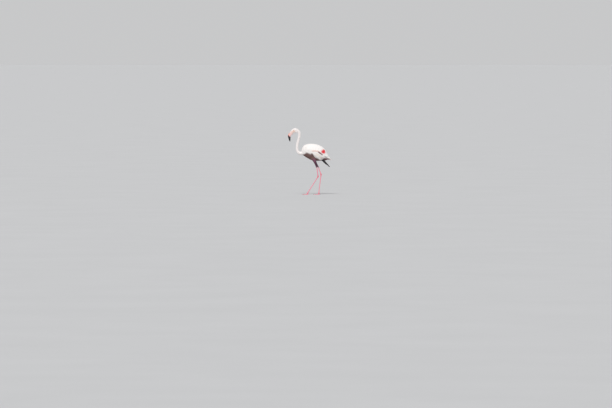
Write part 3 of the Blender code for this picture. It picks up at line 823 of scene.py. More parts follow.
footForm = {
    "toeLengths": (0.0700, 0.0820, 0.0720),    # inner, middle, outer
    "spread": math.radians(36),
    "webMargin": math.radians(4),
    "webThickness": 0.0026,
    "toeHeight": 0.0086,
    "toeHalfWidth": 0.0043,
    "heelReach": 0.0130,
    "heelSpokes": 16,
    "hubRadius": 0.024,
    "hubHeight": 0.0050,
    "webHollow": 0.19,           # how far the web's edge hangs back between two toes
    "knuckles": 3.2,
    "knuckleWidth": (0.84, 0.24),
    "knuckleHeight": (0.84, 0.22),
    "toeWidth": (1.12, 0.42),    # at the root, and how much of it is lost towards the claw
    "toeSlope": 0.38,
    "webThinning": 0.25,
    "spokes": 96,
    "rings": 44,
}
legForm = {
    # half sizes of the flesh round the joints, which lie on the leg lines
    "ankle": (0.0098, 0.0090, 0.0150),
    "foot": (0.0092, 0.0080, 0.0100),
    "hindToe": (0.0050, 0.0045, 0.0050),
    "footSunk": 0.002,
    "hindToeAt": (0.014, 0.004, -0.004),    # behind, outward and up from the foot
    "sole": 0.0006,
    "top": 0.016,           # the length that narrows inside the feathered part
    "topNarrowing": 0.26,
    "topRise": 0.006,
    "plateLength": 0.0046,
    "toePlateLength": 0.0032,
    "plateDepth": 0.00045,
    "plateShade": 0.24,
    "platesFace": (0.1, 0.6),       # how far forward a place has to face
    "platesAbove": (0.020, 0.032),
    "toesBelow": 0.016,
    "toeTops": (0.014, 0.008),
    "toesFace": (0.3, 0.7),
    "jointTint": 0.85,
    "footTint": 0.7,
    "jointReach": (0.010, 0.034),
    "footReach": (0.045, 0.012),
}


def toeReach(angle):
    spread = angle / footForm["spread"]
    inner, middle, outer = footForm["toeLengths"]
    share = min(abs(spread), 1.0)
    straight = middle + ((inner if spread < 0 else outer) - middle) * share
    return straight * (1 - footForm["webHollow"] * math.sin(math.pi * share) ** 0.8)


def footHeight(distance, angle, reach):
    # toes stand up as ridges with knuckles, and a thin web hangs between them
    ridge, knuckle = 0.0, 0.0
    rootWidth, narrowing = footForm["toeWidth"]
    leastWidth, swelling = footForm["knuckleWidth"]
    leastHeight, rising = footForm["knuckleHeight"]
    for toe in (-footForm["spread"], 0.0, footForm["spread"]):
        away = distance * math.sin(min(abs(angle - toe), math.pi / 2))
        along = distance / toeReach(toe)
        swell = 0.5 + 0.5 * math.cos(2 * math.pi * footForm["knuckles"] * along)
        width = footForm["toeHalfWidth"] * (rootWidth - narrowing * along) * (leastWidth + swelling * swell)
        lump = math.sqrt(max(0.0, 1 - (away / width) ** 2))
        if lump > ridge:
            ridge, knuckle = lump, swell * lump
    taper = 1 - footForm["toeSlope"] * distance / reach
    web = footForm["webThickness"] * (1 - footForm["webThinning"] * min(distance / reach, 1))
    top = footForm["toeHeight"] * taper * (leastHeight + rising * knuckle)
    hub = max(0.0, 1 - (distance / footForm["hubRadius"]) ** 2)
    return web + (top - web) * ridge + footForm["hubHeight"] * hub


def addFoot(work, side, centre):
    limit, fan = footForm["spread"], footForm["spread"] + footForm["webMargin"]
    spokes, rings, heelSpokes = footForm["spokes"], footForm["rings"], footForm["heelSpokes"]
    angles = [-fan + 2 * fan * step / spokes for step in range(spokes + 1)]
    backs = [fan + (2 * math.pi - 2 * fan) * step / heelSpokes for step in range(1, heelSpokes)]
    around = [(a, toeReach(max(-limit, min(limit, a)))) for a in angles]
    around += [(a, footForm["heelReach"]) for a in backs]
    edge = footForm["webThickness"] * 0.5

    def corner(angle, distance, rise):
        return work.verts.new(Vector((centre[0] - distance * math.cos(angle),
                                      centre[1] + side * distance * math.sin(angle), rise)))

    top, count = [], len(around)
    middle = corner(0, 0, footHeight(0, 0, 1))
    for ring in range(1, rings + 1):
        row = []
        for angle, reach in around:
            distance = reach * ring / rings
            height = footHeight(distance, angle if abs(angle) <= fan else math.pi, reach)
            if abs(angle) > fan:    # the heel is a dome
                height = edge + (height - edge) * math.sqrt(1 - (ring / rings) ** 2)
            row.append(corner(angle, distance, height if ring < rings else edge))
        top.append(row)
    sole = [corner(angle, reach, 0) for angle, reach in around]
    under = corner(0, 0, 0)
    for step in range(count):
        other = (step + 1) % count
        work.faces.new((middle, top[0][step], top[0][other]))
        for inner, outer in zip(top[:-1], top[1:]):
            work.faces.new((inner[step], outer[step], outer[other], inner[other]))
        work.faces.new((top[-1][step], sole[step], sole[other], top[-1][other]))
        work.faces.new((sole[step], under, sole[other]))


def tinted(colours, name, share):
    return colours + (np.array(markings[name]) - colours) * share[:, None]


def makeLegSkin(side):
    sideName = sideNames[side]
    line = legLines[sideName][2:]
    work = bmesh.new()
    for part in ("shin", "ankle", "tarsus", "hind_toe"):
        work.from_mesh(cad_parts[part + "_" + sideName].data)
    addFoot(work, side, line[2])
    addBall(work, line[1], legForm["ankle"], line[0] - line[2])
    addBall(work, line[2] - np.array([0, 0, legForm["footSunk"]]), legForm["foot"], line[1] - line[2])
    behind, outward, rise = legForm["hindToeAt"]
    addBall(work, line[2] + np.array([behind, outward * side, rise]), legForm["hindToe"], (0, 0, 1))
    bmesh.ops.recalc_face_normals(work, faces=work.faces)
    mesh = remeshed(work, skinForm["legVoxel"])
    points = pointsOf(mesh)
    eased = relaxed(points, edgesOf(mesh), skinForm["legSmoothing"])
    sole = points[:, 2] < legForm["sole"]
    eased[sole] = points[sole]
    # the upper end narrows and runs on a little inside the feathered part
    span = unit(line[1] - line[0])
    reached = (eased - line[0]) @ span
    middle = line[0] + reached[:, None] * span
    top = smoothStep(legForm["top"], 0.0, reached)[:, None] * (eased[:, 2:] > thighShape["reach"][0])
    eased += (middle - eased) * (legForm["topNarrowing"] * top) - span * (legForm["topRise"] * top)
    points, normals = placePoints(mesh, eased)
    # raised plates down the front of the leg and along the toes
    front = smoothStep(*legForm["platesFace"], -normals[:, 0])
    front = front * smoothStep(*legForm["platesAbove"], points[:, 2])
    toes = smoothStep(*legForm["toeTops"], points[:, 2]) * smoothStep(*legForm["toesFace"], normals[:, 2])
    down = alongLimb(points, line)[0] / legForm["plateLength"]
    out = np.hypot(points[:, 0] - line[2][0], points[:, 1] - line[2][1]) / legForm["toePlateLength"]
    ringed = np.abs(np.sin(math.pi * np.where(points[:, 2] > legForm["toesBelow"], down, out))) ** 0.35 - 0.8
    relief = ringed * legForm["plateDepth"] * np.maximum(front, toes)
    placePoints(mesh, points + normals * relief[:, None])
    near = 1 - smoothStep(*legForm["jointReach"], np.linalg.norm(points - line[1], axis=1))
    colour = np.tile(markings["legSkin"], (len(points), 1))
    colour = tinted(colour, "legJoint", legForm["jointTint"] * near)
    low = smoothStep(*legForm["footReach"], points[:, 2])
    colour = tinted(colour, "footSkin", low * legForm["footTint"])
    grooves = np.clip(ringed, -1, 0) * np.maximum(front, toes)
    return mesh, colour * (1 + legForm["plateShade"] * grooves)[:, None]


def makeSkin():
    mesh, regions, bare, inBill = makeBodySkin()
    colours = markingsAt(pointsOf(mesh), pointsOf(mesh, "normal"), regions) * skinForm["shade"]
    colours = tinted(colours, "faceSkin", bare)
    # painted shade in the gape: the skin inside the bill is dark
    colours = tinted(colours, "mouthInShade", smoothStep(*skinForm["mouthFrom"], inBill))
    tree = BVHTree.FromPolygons([v.co for v in mesh.vertices], [p.vertices[:] for p in mesh.polygons])
    allColours, scaly = [colours], [np.zeros(len(colours))]
    work = bmesh.new()
    work.from_mesh(mesh)
    for side in sideNames:
        legMesh, legColours = makeLegSkin(side)
        work.from_mesh(legMesh)
        allColours.append(legColours)
        scaly.append(np.ones(len(legColours)))
    whole = meshFrom(work, "skin")
    whole.shade_smooth()
    setColours(whole, "marking", np.concatenate(allColours))
    setFloats(whole, "scaly", np.concatenate(scaly))
    legNodes = [part + "_" + sideName for part in ("shin", "ankle", "tarsus", "foot", "hind_toe")
                for sideName in sideNames.values()]
    newPiece("skin", whole, "skin", "plumage", fleshNodes + legNodes)
    print("skin made,", len(whole.polygons), "faces")
    return mesh, tree


bodyMesh, skinTree = makeSkin()


# feathers
# widths, rises and thicks are shares of the feather's own half width, lift and thickness along its shaft
featherShapes = {
    "tuft": {"section": 3, "shares": [0, 0.30, 0.68, 1.0], "widths": [0.55, 1.0, 0.80, 0.16],
             "rises": [0.05, 0.70, 1.0, 0.82], "thicks": [0.8, 1.0, 0.8, 0.4], "fray": 0.0, "rim": 0.62},
    "soft": {"section": 4, "shares": [0, 0.22, 0.46, 0.64, 0.78, 0.90, 1.0],
             "widths": [0.35, 0.85, 1.0, 0.98, 0.84, 0.56, 0.14],
             "rises": [0.02, 0.55, 0.86, 0.97, 0.98, 0.88, 0.58],
             "thicks": [0.8, 1.0, 0.9, 0.8, 0.7, 0.5, 0.3], "fray": 0.26, "rim": 0.66},
    "covert": {"section": 4, "shares": [0, 0.20, 0.42, 0.60, 0.74, 0.85, 0.94, 1.0],
               "widths": [0.32, 0.82, 1.0, 1.0, 0.92, 0.74, 0.46, 0.12],
               "rises": [0.04, 0.52, 0.84, 0.95, 0.98, 0.95, 0.84, 0.62],
               "thicks": [0.8, 1.0, 1.0, 0.9, 0.75, 0.6, 0.45, 0.3], "fray": 0.16, "rim": 0.78},
    "plume": {"section": 6, "shares": [0, 0.12, 0.26, 0.40, 0.54, 0.66, 0.76, 0.85, 0.93, 1.0],
              "widths": [0.25, 0.62, 0.90, 1.0, 0.96, 0.84, 0.68, 0.48, 0.27, 0.05],
              "rises": [0.10, 0.42, 0.66, 0.80, 0.90, 0.95, 0.97, 0.96, 0.90, 0.80],
              "thicks": [0.9, 1.0, 1.0, 0.95, 0.85, 0.75, 0.65, 0.5, 0.4, 0.3], "fray": 0.22, "rim": 0.90,
              "drape": (0.030, 0.5)},
}
# how a feather follows the skin, and when it parts from it
lie = {"steepest": 0.5, "farthest": 0.75, "freeStep": 0.8, "drape": (0.014, 0.3), "hugWidth": 0.0015}
splitting = {"from": 0.35, "often": 0.35, "depth": (0.45, 0.7)}    # gaps between the barbs
rootShade = ([0, 0.5, 1], [0.82, 0.96, 1.0])    # darker towards the root
bakePatch = 0.003    # size of each feather's patch in the bake map
tailEnd = cadHigh.x + 0.004    # nothing of the coat reaches further back


def castOnSide(x, z, side):
    # the skin's place at a point of the side view
    return skinTree.ray_cast(Vector((x, side * 0.3, z)), Vector((0, -side, 0)))[0]


def layFeathers(roots, headings, lengths, halfWidths, lifts, shape, bends):
    # lays each feather along the skin: the line of its shaft, its two rims and its outward direction
    shares = shape["shares"]
    count, stations = len(roots), len(shares)
    centres, ups = np.zeros((count, stations, 3)), np.zeros((count, stations, 3))
    rims = np.zeros((2, count, stations, 3))
    freeFrom = np.ones(count)
    drape, pull = shape.get("drape", lie["drape"])    # a free tip this close to the body sinks towards it
    hugging = shape["section"] > 3
    nearest = skinTree.find_nearest
    for i in range(count):
        heading = Vector(headings[i]).normalized()
        point, normal, _, _ = nearest(Vector(roots[i]))
        free, done = False, 0.0
        for k, share in enumerate(shares):
            step = (share - done) * lengths[i]
            done = share
            if k:
                found, facing, _, away = nearest(point + heading * step)
                leaps = facing.dot(normal) < lie["steepest"] or away > step * lie["farthest"]
                if leaps and not free:
                    free = True
                    freeFrom[i] = share
                if free:
                    before = point
                    point = point + heading * (step * lie["freeStep"])
                    if away < drape and facing.dot(normal) > -0.2:
                        point = point.lerp(found, pull)
                        normal = normal.lerp(facing, pull * 0.6).normalized()
                        heading = (point - before).normalized()
                else:
                    point = found
                    normal = (normal * 0.35 + facing * 0.65).normalized()
            side = heading.cross(normal)
            heading = (heading - normal * heading.dot(normal) + side * (bends[i] * step)).normalized()
            side = heading.cross(normal)
            reach = halfWidths[i] * shape["widths"][k]
            rise = lifts[i] * shape["rises"][k]
            centres[i, k] = point + normal * rise
            ups[i, k] = normal
            for edge, sign in enumerate((-1, 1)):
                place = point + side * (sign * reach)
                if hugging and not free and reach > lie["hugWidth"]:
                    found, facing, _, away = nearest(place)
                    if facing.dot(normal) > 0.4 and away < reach * 0.5:
                        place = found
                rims[edge, i, k] = place + normal * (rise * shape["rim"])
    return centres, rims, ups, freeFrom


def frayed(centres, rims, amount):
    # the barbs part here and there along a vane, so its edge is never quite even
    count, stations = centres.shape[:2]
    free = np.linspace(0, 1, stations) > splitting["from"]
    free[-1] = False
    for edge in (0, 1):
        keep = 1 - amount * chance.uniform(0, 1, (count, stations)) ** 2 * free[None]
        split = (chance.uniform(0, 1, (count, stations)) < amount * splitting["often"]) & free[None]
        keep = np.where(split, keep * chance.uniform(*splitting["depth"], (count, stations)), keep)
        rims[edge] = centres + (rims[edge] - centres) * keep[:, :, None]
    return rims


def sectionOf(shape, left, middle, right, lift):
    # the corners of a blade's section, and how far across the vane each of them is
    if shape["section"] == 3:
        return np.stack([left, middle + lift, right], 2), [0, 0.5, 1]
    if shape["section"] == 4:
        return np.stack([left, middle + lift * 0.6, right, middle - lift * 0.4], 2), [0, 0.5, 1, 0.5]
    upper = [(rim + middle) / 2 + lift * 0.40 for rim in (left, right)]
    corners = [left, upper[0], middle + lift * 0.62, upper[1], right, middle - lift * 0.38]
    return np.stack(corners, 2), [0, 0.25, 0.5, 0.75, 1, 0.5]


def bladeFaces(count, stations, corners):
    # the corners of the blades' faces one after another, and each face's number of corners
    sides, ends = tubeFaces(stations, corners)
    template = np.concatenate([np.ravel(sides), *(np.array(end) for end in ends)])
    starts = (np.arange(count) * stations * corners)[:, None]
    return (template[None] + starts).ravel(), np.tile([4] * len(sides) + [corners, corners], count)


def vaneMesh(name, centres, rims, ups, thickness, halfWidths, lengths, shape, colours, bakePlaces):
    # thin closed blades, each a row of small sections along its shaft
    count, stations = centres.shape[:2]
    left, right = frayed(centres, rims, shape["fray"])
    lift = ups * (thickness * np.array(shape["thicks"]))[None, :, None]
    section, aside = sectionOf(shape, left, centres, right, lift)
    corners = len(aside)
    points = section.reshape(-1, 3)
    loops, sizes = bladeFaces(count, stations, corners)
    mesh = bpy.data.meshes.new(name)
    mesh.vertices.add(len(points))
    mesh.vertices.foreach_set("co", points.astype(np.float32).ravel())
    mesh.loops.add(len(loops))
    mesh.loops.foreach_set("vertex_index", loops.astype(np.int32))
    mesh.polygons.add(len(sizes))
    mesh.polygons.foreach_set("loop_start", np.concatenate([[0], np.cumsum(sizes)[:-1]]).astype(np.int32))
    mesh.update(calc_edges=True)
    mesh.shade_smooth()
    mesh.set_sharp_from_angle(angle=math.radians(52))
    aside = np.broadcast_to(np.array(aside)[None, None], (count, stations, corners)) - 0.5
    shares = np.array(shape["shares"])
    along = np.broadcast_to(shares[None, :, None], (count, stations, corners))
    wide = (halfWidths[:, None] * np.array(shape["widths"])[None])[:, :, None]
    layers = {    # the vane map is in centimetres
        "OFBake": (bakePlaces[:, 0][:, None, None] + bakePatch * aside,
                   bakePlaces[:, 1][:, None, None] + bakePatch * (along - 0.5)),
        "vane": (aside * 2 * wide * 100, along * lengths[:, None, None] * 100),
    }
    for layerName, (u, v) in layers.items():
        pairs = np.stack([u.ravel(), v.ravel()], 1)[loops]
        mesh.uv_layers.new(name=layerName).uv.foreach_set("vector", pairs.astype(np.float32).ravel())
    shade = np.interp(shares, *rootShade)
    shaded = colours.reshape(count, -1, 1, 3) * shade[None, :, None, None]
    shaded = np.broadcast_to(shaded, (count, stations, corners, 3)).reshape(-1, 3)
    setColours(mesh, "marking", np.clip(shaded, 0, 1))
    return mesh


def vaneColours(centres, ups, region, shown, variation):
    # half of the colour is that of the shown end of the feather, half that of each place along it
    count, stations = centres.shape[:2]
    regions = np.full(count * stations, region)
    own = markingsAt(centres.reshape(-1, 3), ups.reshape(-1, 3), regions).reshape(count, stations, 3)
    colours = (own + own[:, shown:shown + 1]) / 2
    return colours * chance.uniform(1 - variation, 1 + variation * 0.6, (count, 1, 1))


def bakePlacesOf(points, region):
    # where each root lies on an unwrap of the bird's own form: round the spine or leg, and along it
    if region == "thigh":
        turn, along = np.zeros(len(points)), np.zeros(len(points))
        for side, leg in legSides:
            chosen, line = np.sign(points[:, 1]) == side, leg[:3]
            x, y, z = points[chosen].T
            middleX, middleY = (np.interp(z, line[::-1, 2], line[::-1, axis]) for axis in (0, 1))
            angle = np.arctan2(y - middleY, x - middleX)
            turn[chosen] = 0.25 * (1 + side) + 0.48 * (angle / (2 * math.pi) + 0.5)
            along[chosen] = alongLimb(points[chosen], line)[0]
    else:
        index = nearestOnSpine(points)
        tangent, centre = spineTangent[index], spineLine[index]
        out = (points[:, 0] - centre[:, 0]) * -tangent[:, 1] + (points[:, 2] - centre[:, 1]) * tangent[:, 0]
        turn = np.arctan2(points[:, 1], out) / (2 * math.pi) + 0.5
        along = spineReach[index]
    low, high = along.min(), along.max()
    along = (along - low) / max(high - low, 1e-6)
    return np.stack([0.01 + 0.98 * turn, 0.01 + 0.98 * along], 1)


def featherPiece(name, settings, laid, sizes, blades, shown, variation):
    # one piece of all the feathers that lie well
    roots, lengths, halfWidths = (values[laid] for values in sizes)
    centres, rims, ups = blades[0][laid], blades[1][:, laid], blades[2][laid]
    region, shape = settings["region"], featherShapes[settings["shape"]]
    colouredAs = settings.get("colouredAs", region)
    colours = vaneColours(centres, ups, colouredAs, len(shape["shares"]) - shown, variation)
    mesh = vaneMesh(name, centres, rims, ups, settings["thickness"], halfWidths, lengths, shape, colours,
                    bakePlacesOf(roots, region))
    newPiece(name, mesh, "down" if shape["section"] == 3 else "vane", "plumage")
    print(name, len(roots), "feathers,", sum(len(p.vertices) - 2 for p in mesh.polygons), "triangles")


coatForm = {
    "droop": 0.22,              # how far feathers on the flanks point down
    "breast": (-0.236, 0.675),  # x and z of the middle of the whorl on the breast
    "breastReach": (0.04, 0.14),
    "breastSpread": 1.2,
    "thighPull": (0.075, 0.035),
    "disorder": 0.09,
    "bareLimit": 0.5,           # no feathers grow where the face is barer than this
    "eyeClear": 0.0072,
    "tailEdge": 0.93,
    "lengths": (0.85, 1.15),    # how far feathers of one place differ
    "widths": (0.88, 1.12),
    "lifts": (0.82, 1.12),
    "bend": 0.22,
    "shortest": 0.008,
    "nearThigh": (0.070, 0.042),    # metres from the leg's line
    "smaller": {"length": 0.50, "width": 0.30, "lift": 0.72},    # near the thigh
    "thighEnd": (0.430, 0.500),
    "thighTop": (0.525, 0.560),
    "sideSlim": 0.55,
    "besideTail": (0.195, 0.030, 0.608),
}


def coatHeadings(points, normals, region):
    # the lie of the coat
    tangent = spineTangent[nearestOnSpine(points)]
    heading = np.stack([tangent[:, 0], np.zeros(len(points)), tangent[:, 1]], 1)
    if region == "thigh":
        for side, line in legSides:
            heading[np.sign(points[:, 1]) == side] = unit(line[2] - line[0])
    if region in ("trunk", "wing"):
        heading[:, 2] -= coatForm["droop"] * np.abs(normals[:, 1])
    if region == "trunk":    # it spreads from the neck, and turns down towards the thighs
        away = points - np.array([coatForm["breast"][0] + shift, 0, coatForm["breast"][1]])
        apart = np.linalg.norm(away, axis=1)[:, None]
        near = 1 - smoothStep(*coatForm["breastReach"], apart)
        heading += away / apart * near * coatForm["breastSpread"]
        for _, line in legSides:
            close = smoothStep(*coatForm["thighPull"], alongLimb(points, line[:3])[1])[:, None]
            heading += (unit(line[2] - line[0]) - heading) * close
    heading = unit(heading)
    facing = (heading * normals).sum(1)
    heading += chance.normal(0, coatForm["disorder"], heading.shape)
    return unit(heading - normals * (heading * normals).sum(1)[:, None]), facing


def scatterRoots(spacingAt, faces, count):
    # roots at least a spacing apart, over the given faces
    picks = chance.choice(faces, count, p=faceAreas[faces] / faceAreas[faces].sum())
    mix = chance.dirichlet((1, 1, 1, 1), count)
    spots = (faceCorners[picks] * mix[:, :, None]).sum(1)
    spacing = spacingAt(spots)
    keys = np.floor(spots / spacing.max()).astype(int).tolist()
    places, limits = spots.tolist(), (spacing ** 2).tolist()
    grid, kept = {}, []
    nearby = [(a, b, c) for a in (-1, 0, 1) for b in (-1, 0, 1) for c in (-1, 0, 1)]

    def crowded(key, place, limit):
        x, y, z = place
        for a, b, c in nearby:
            for px, py, pz in grid.get((key[0] + a, key[1] + b, key[2] + c), ()):
                if (px - x) ** 2 + (py - y) ** 2 + (pz - z) ** 2 < limit:
                    return True
        return False

    for i in range(count):
        if not crowded(keys[i], places[i], limits[i]):
            grid.setdefault(tuple(keys[i]), []).append(places[i])
            kept.append(i)
    return spots[kept], picks[kept]


bodyFaces = bodyMesh.polygons
quadList = [f.vertices[:] if len(f.vertices) == 4 else (*f.vertices[:3], f.vertices[2]) for f in bodyFaces]
faceCorners = pointsOf(bodyMesh)[np.array(quadList)]
faceAreas = np.array([f.area for f in bodyFaces])
faceMiddles = faceCorners.mean(1)
faceNormals = np.array([f.normal[:] for f in bodyFaces])
faceRegions = regionsAt(faceMiddles)

# x and z limits are in the solids' own build. Length, width and spacing run from their first to their
# second value, along x or z as grows says. A feather has to hold to the skin for the share heldTo of its
# length, and beyond a limit for the share that heldBeyond gives.
tuftTract = {"thickness": 0.0004, "shape": "tuft"}
neckTract = {**tuftTract, "region": "neck", "grows": ("z", 1.0, 0.68)}
softTract = {"region": "trunk", "thickness": 0.0005, "shape": "soft",
             "heldBeyond": [("nearThigh", -0.075, 0.88), ("x", 0.10, 0.80)]}
leafTract = {"steepest": 0.60, "heldTo": 0.55, "thickness": 0.0006, "shape": "covert"}
tracts = {
    "coatHead": {
        **tuftTract, "region": "head", "grows": ("x", -0.37, -0.32), "length": (0.0062, 0.0085),
        "width": (0.0011, 0.0014), "spacing": (0.0012, 0.0014), "lift": 0.0013, "thickness": 0.0003},
    "coatNeckUpper": {
        **neckTract, "z": (0.86, 2), "length": (0.0095, 0.0125), "width": (0.0016, 0.0019),
        "spacing": (0.0016, 0.0019), "lift": 0.0021},
    "coatNeckLower": {
        **neckTract, "z": (0, 0.86), "length": (0.0125, 0.0190), "width": (0.0019, 0.0026),
        "spacing": (0.0019, 0.0025), "lift": 0.0023},
    "coatBreast": {
        **softTract, "x": (-1, -0.05), "length": (0.020, 0.026), "width": (0.0034, 0.0046),
        "spacing": (0.0032, 0.0042), "lift": 0.0038},
    "coatBelly": {
        **softTract, "x": (-0.05, 1), "length": (0.026, 0.032), "width": (0.0046, 0.0058),
        "spacing": (0.0045, 0.0058), "lift": 0.0040},
    "coatBack": {
        **leafTract, "region": "back", "length": (0.030, 0.056), "width": (0.0050, 0.0082),
        "spacing": (0.0042, 0.0066), "lift": 0.0040, "heldBeyond": [("x", 0.13, 0.75)]},
    "coatWing": {
        **leafTract, "region": "wing", "length": (0.024, 0.036), "width": (0.0044, 0.0066),
        "spacing": (0.0040, 0.0054), "lift": 0.0036},
    "coatTail": {
        **leafTract, "region": "tail", "length": (0.030, 0.040), "width": (0.0050, 0.0060),
        "spacing": (0.0050, 0.0058), "lift": 0.0022,
        "heldBeyond": [("y", 0.026, 0.70), ("tip", 0.238, 1.0)]},
    "coatThighs": {
        **tuftTract, "region": "thigh", "steepest": 0.60, "grows": ("z", 0.56, 0.44),
        "length": (0.015, 0.0085), "width": (0.0024, 0.0015), "spacing": (0.0027, 0.0018), "lift": 0.0023,
        "heldBeyond": [("z", 0.530, 0.95)]},
}


def staysOnSide(ups):
    # true for feathers that do not wrap round the thin edge of the tail
    return (ups[:, 0] * ups[:, -1]).sum(1) > 0.45


def tractFaces(settings):
    # the faces of the skin that a tract's roots stand on
    region = settings["region"]
    chosen = faceRegions == region
    for key, values in (("x", faceMiddles[:, 0] - shift), ("z", faceMiddles[:, 2])):
        low, high = settings.get(key, (-9, 9))
        chosen &= (values > low) & (values <= high)
    if region == "head":
        chosen &= bareFace(faceMiddles) < coatForm["bareLimit"]
        for sideName in sideNames.values():
            away = faceMiddles - np.array(middleOf("eye_" + sideName))
            chosen &= np.linalg.norm(away, axis=1) > coatForm["eyeClear"]
    if region == "tail":
        chosen &= np.abs(faceNormals[:, 1]) < coatForm["tailEdge"]
    return np.flatnonzero(chosen)


def makeTract(name, settings):
    region, shape = settings["region"], featherShapes[settings["shape"]]
    faces = tractFaces(settings)

    def between(key, points):
        axis, start, stop = settings.get("grows", ("x", -0.20, 0.12))
        first, second = settings[key]
        values = points[:, 0] - shift if axis == "x" else points[:, 2]
        return first + (second - first) * smoothStep(start, stop, values)

    def varied(key, sizes=1.0):
        return sizes * chance.uniform(*coatForm[key], len(roots))

    wanted = int(faceAreas[faces].sum() / min(settings["spacing"]) ** 2 * 4)
    roots, picks = scatterRoots(lambda points: between("spacing", points), faces, wanted)
    headings, facing = coatHeadings(roots, faceNormals[picks], region)
    laid = facing < settings.get("steepest", 0.80)
    roots, headings, picks = roots[laid], headings[laid], picks[laid]
    lengths = varied("lengths", between("length", roots))
    room = (tailEnd - roots[:, 0]) / np.maximum(headings[:, 0], 0.05)
    lengths = np.minimum(lengths, np.maximum(room, coatForm["shortest"]))
    halfWidths = varied("widths", between("width", roots))
    lifts = varied("lifts", settings["lift"])
    fromThigh = np.min([alongLimb(roots, line[:3])[1] for _, line in legSides], axis=0)
    if region == "tail":     # slim along the edge of the tail
        edge = smoothStep(0.35, 0.75, np.abs(faceNormals[picks][:, 1]))
        halfWidths *= 1 - coatForm["sideSlim"] * edge
    if region == "trunk":    # smaller where they run on into those of the thigh
        near = smoothStep(*coatForm["nearThigh"], fromThigh)
        lengths *= 1 - coatForm["smaller"]["length"] * near
        halfWidths *= 1 - coatForm["smaller"]["width"] * near
        lifts *= 1 - coatForm["smaller"]["lift"] * near
    if region == "thigh":    # and closest at its two ends
        lifts *= 0.35 + 0.65 * smoothStep(*coatForm["thighEnd"], roots[:, 2])
        lifts *= 1 - 0.70 * smoothStep(*coatForm["thighTop"], roots[:, 2])
    bends = chance.normal(0, coatForm["bend"], len(roots)) / lengths
    *blades, freeFrom = layFeathers(roots, headings, lengths, halfWidths, lifts, shape, bends)
    # those that leave the skin too early, where that would show, are left out
    tips = blades[0][:, -1]
    places = {"x": roots[:, 0] - shift, "y": np.abs(roots[:, 1]), "z": roots[:, 2],
              "nearThigh": -fromThigh, "tip": tips[:, 0] - shift}
    laid = freeFrom > settings.get("heldTo", 0.30)
    for key, limit, held in settings.get("heldBeyond", ()):
        laid &= (places[key] < limit) | (freeFrom > held)
    if region == "tail":
        laid &= staysOnSide(blades[2])
    if region == "back":     # none stick out beside the root of the tail
        outX, outY, outZ = coatForm["besideTail"]
        laid &= (places["tip"] < outX) | (np.abs(tips[:, 1]) < outY) | (tips[:, 2] > outZ)
    featherPiece(name, settings, laid, (roots, lengths, halfWidths), blades, 2, 0.05)


for tractName, tract in tracts.items():
    makeTract(tractName, tract)
print("small feathers laid")


# rows of larger feathers
def mirrored(line):
    # a line from one side over the middle to the other
    return [(x, -y) for x, y in line] + [(x, y) for x, y in line[-2::-1]]


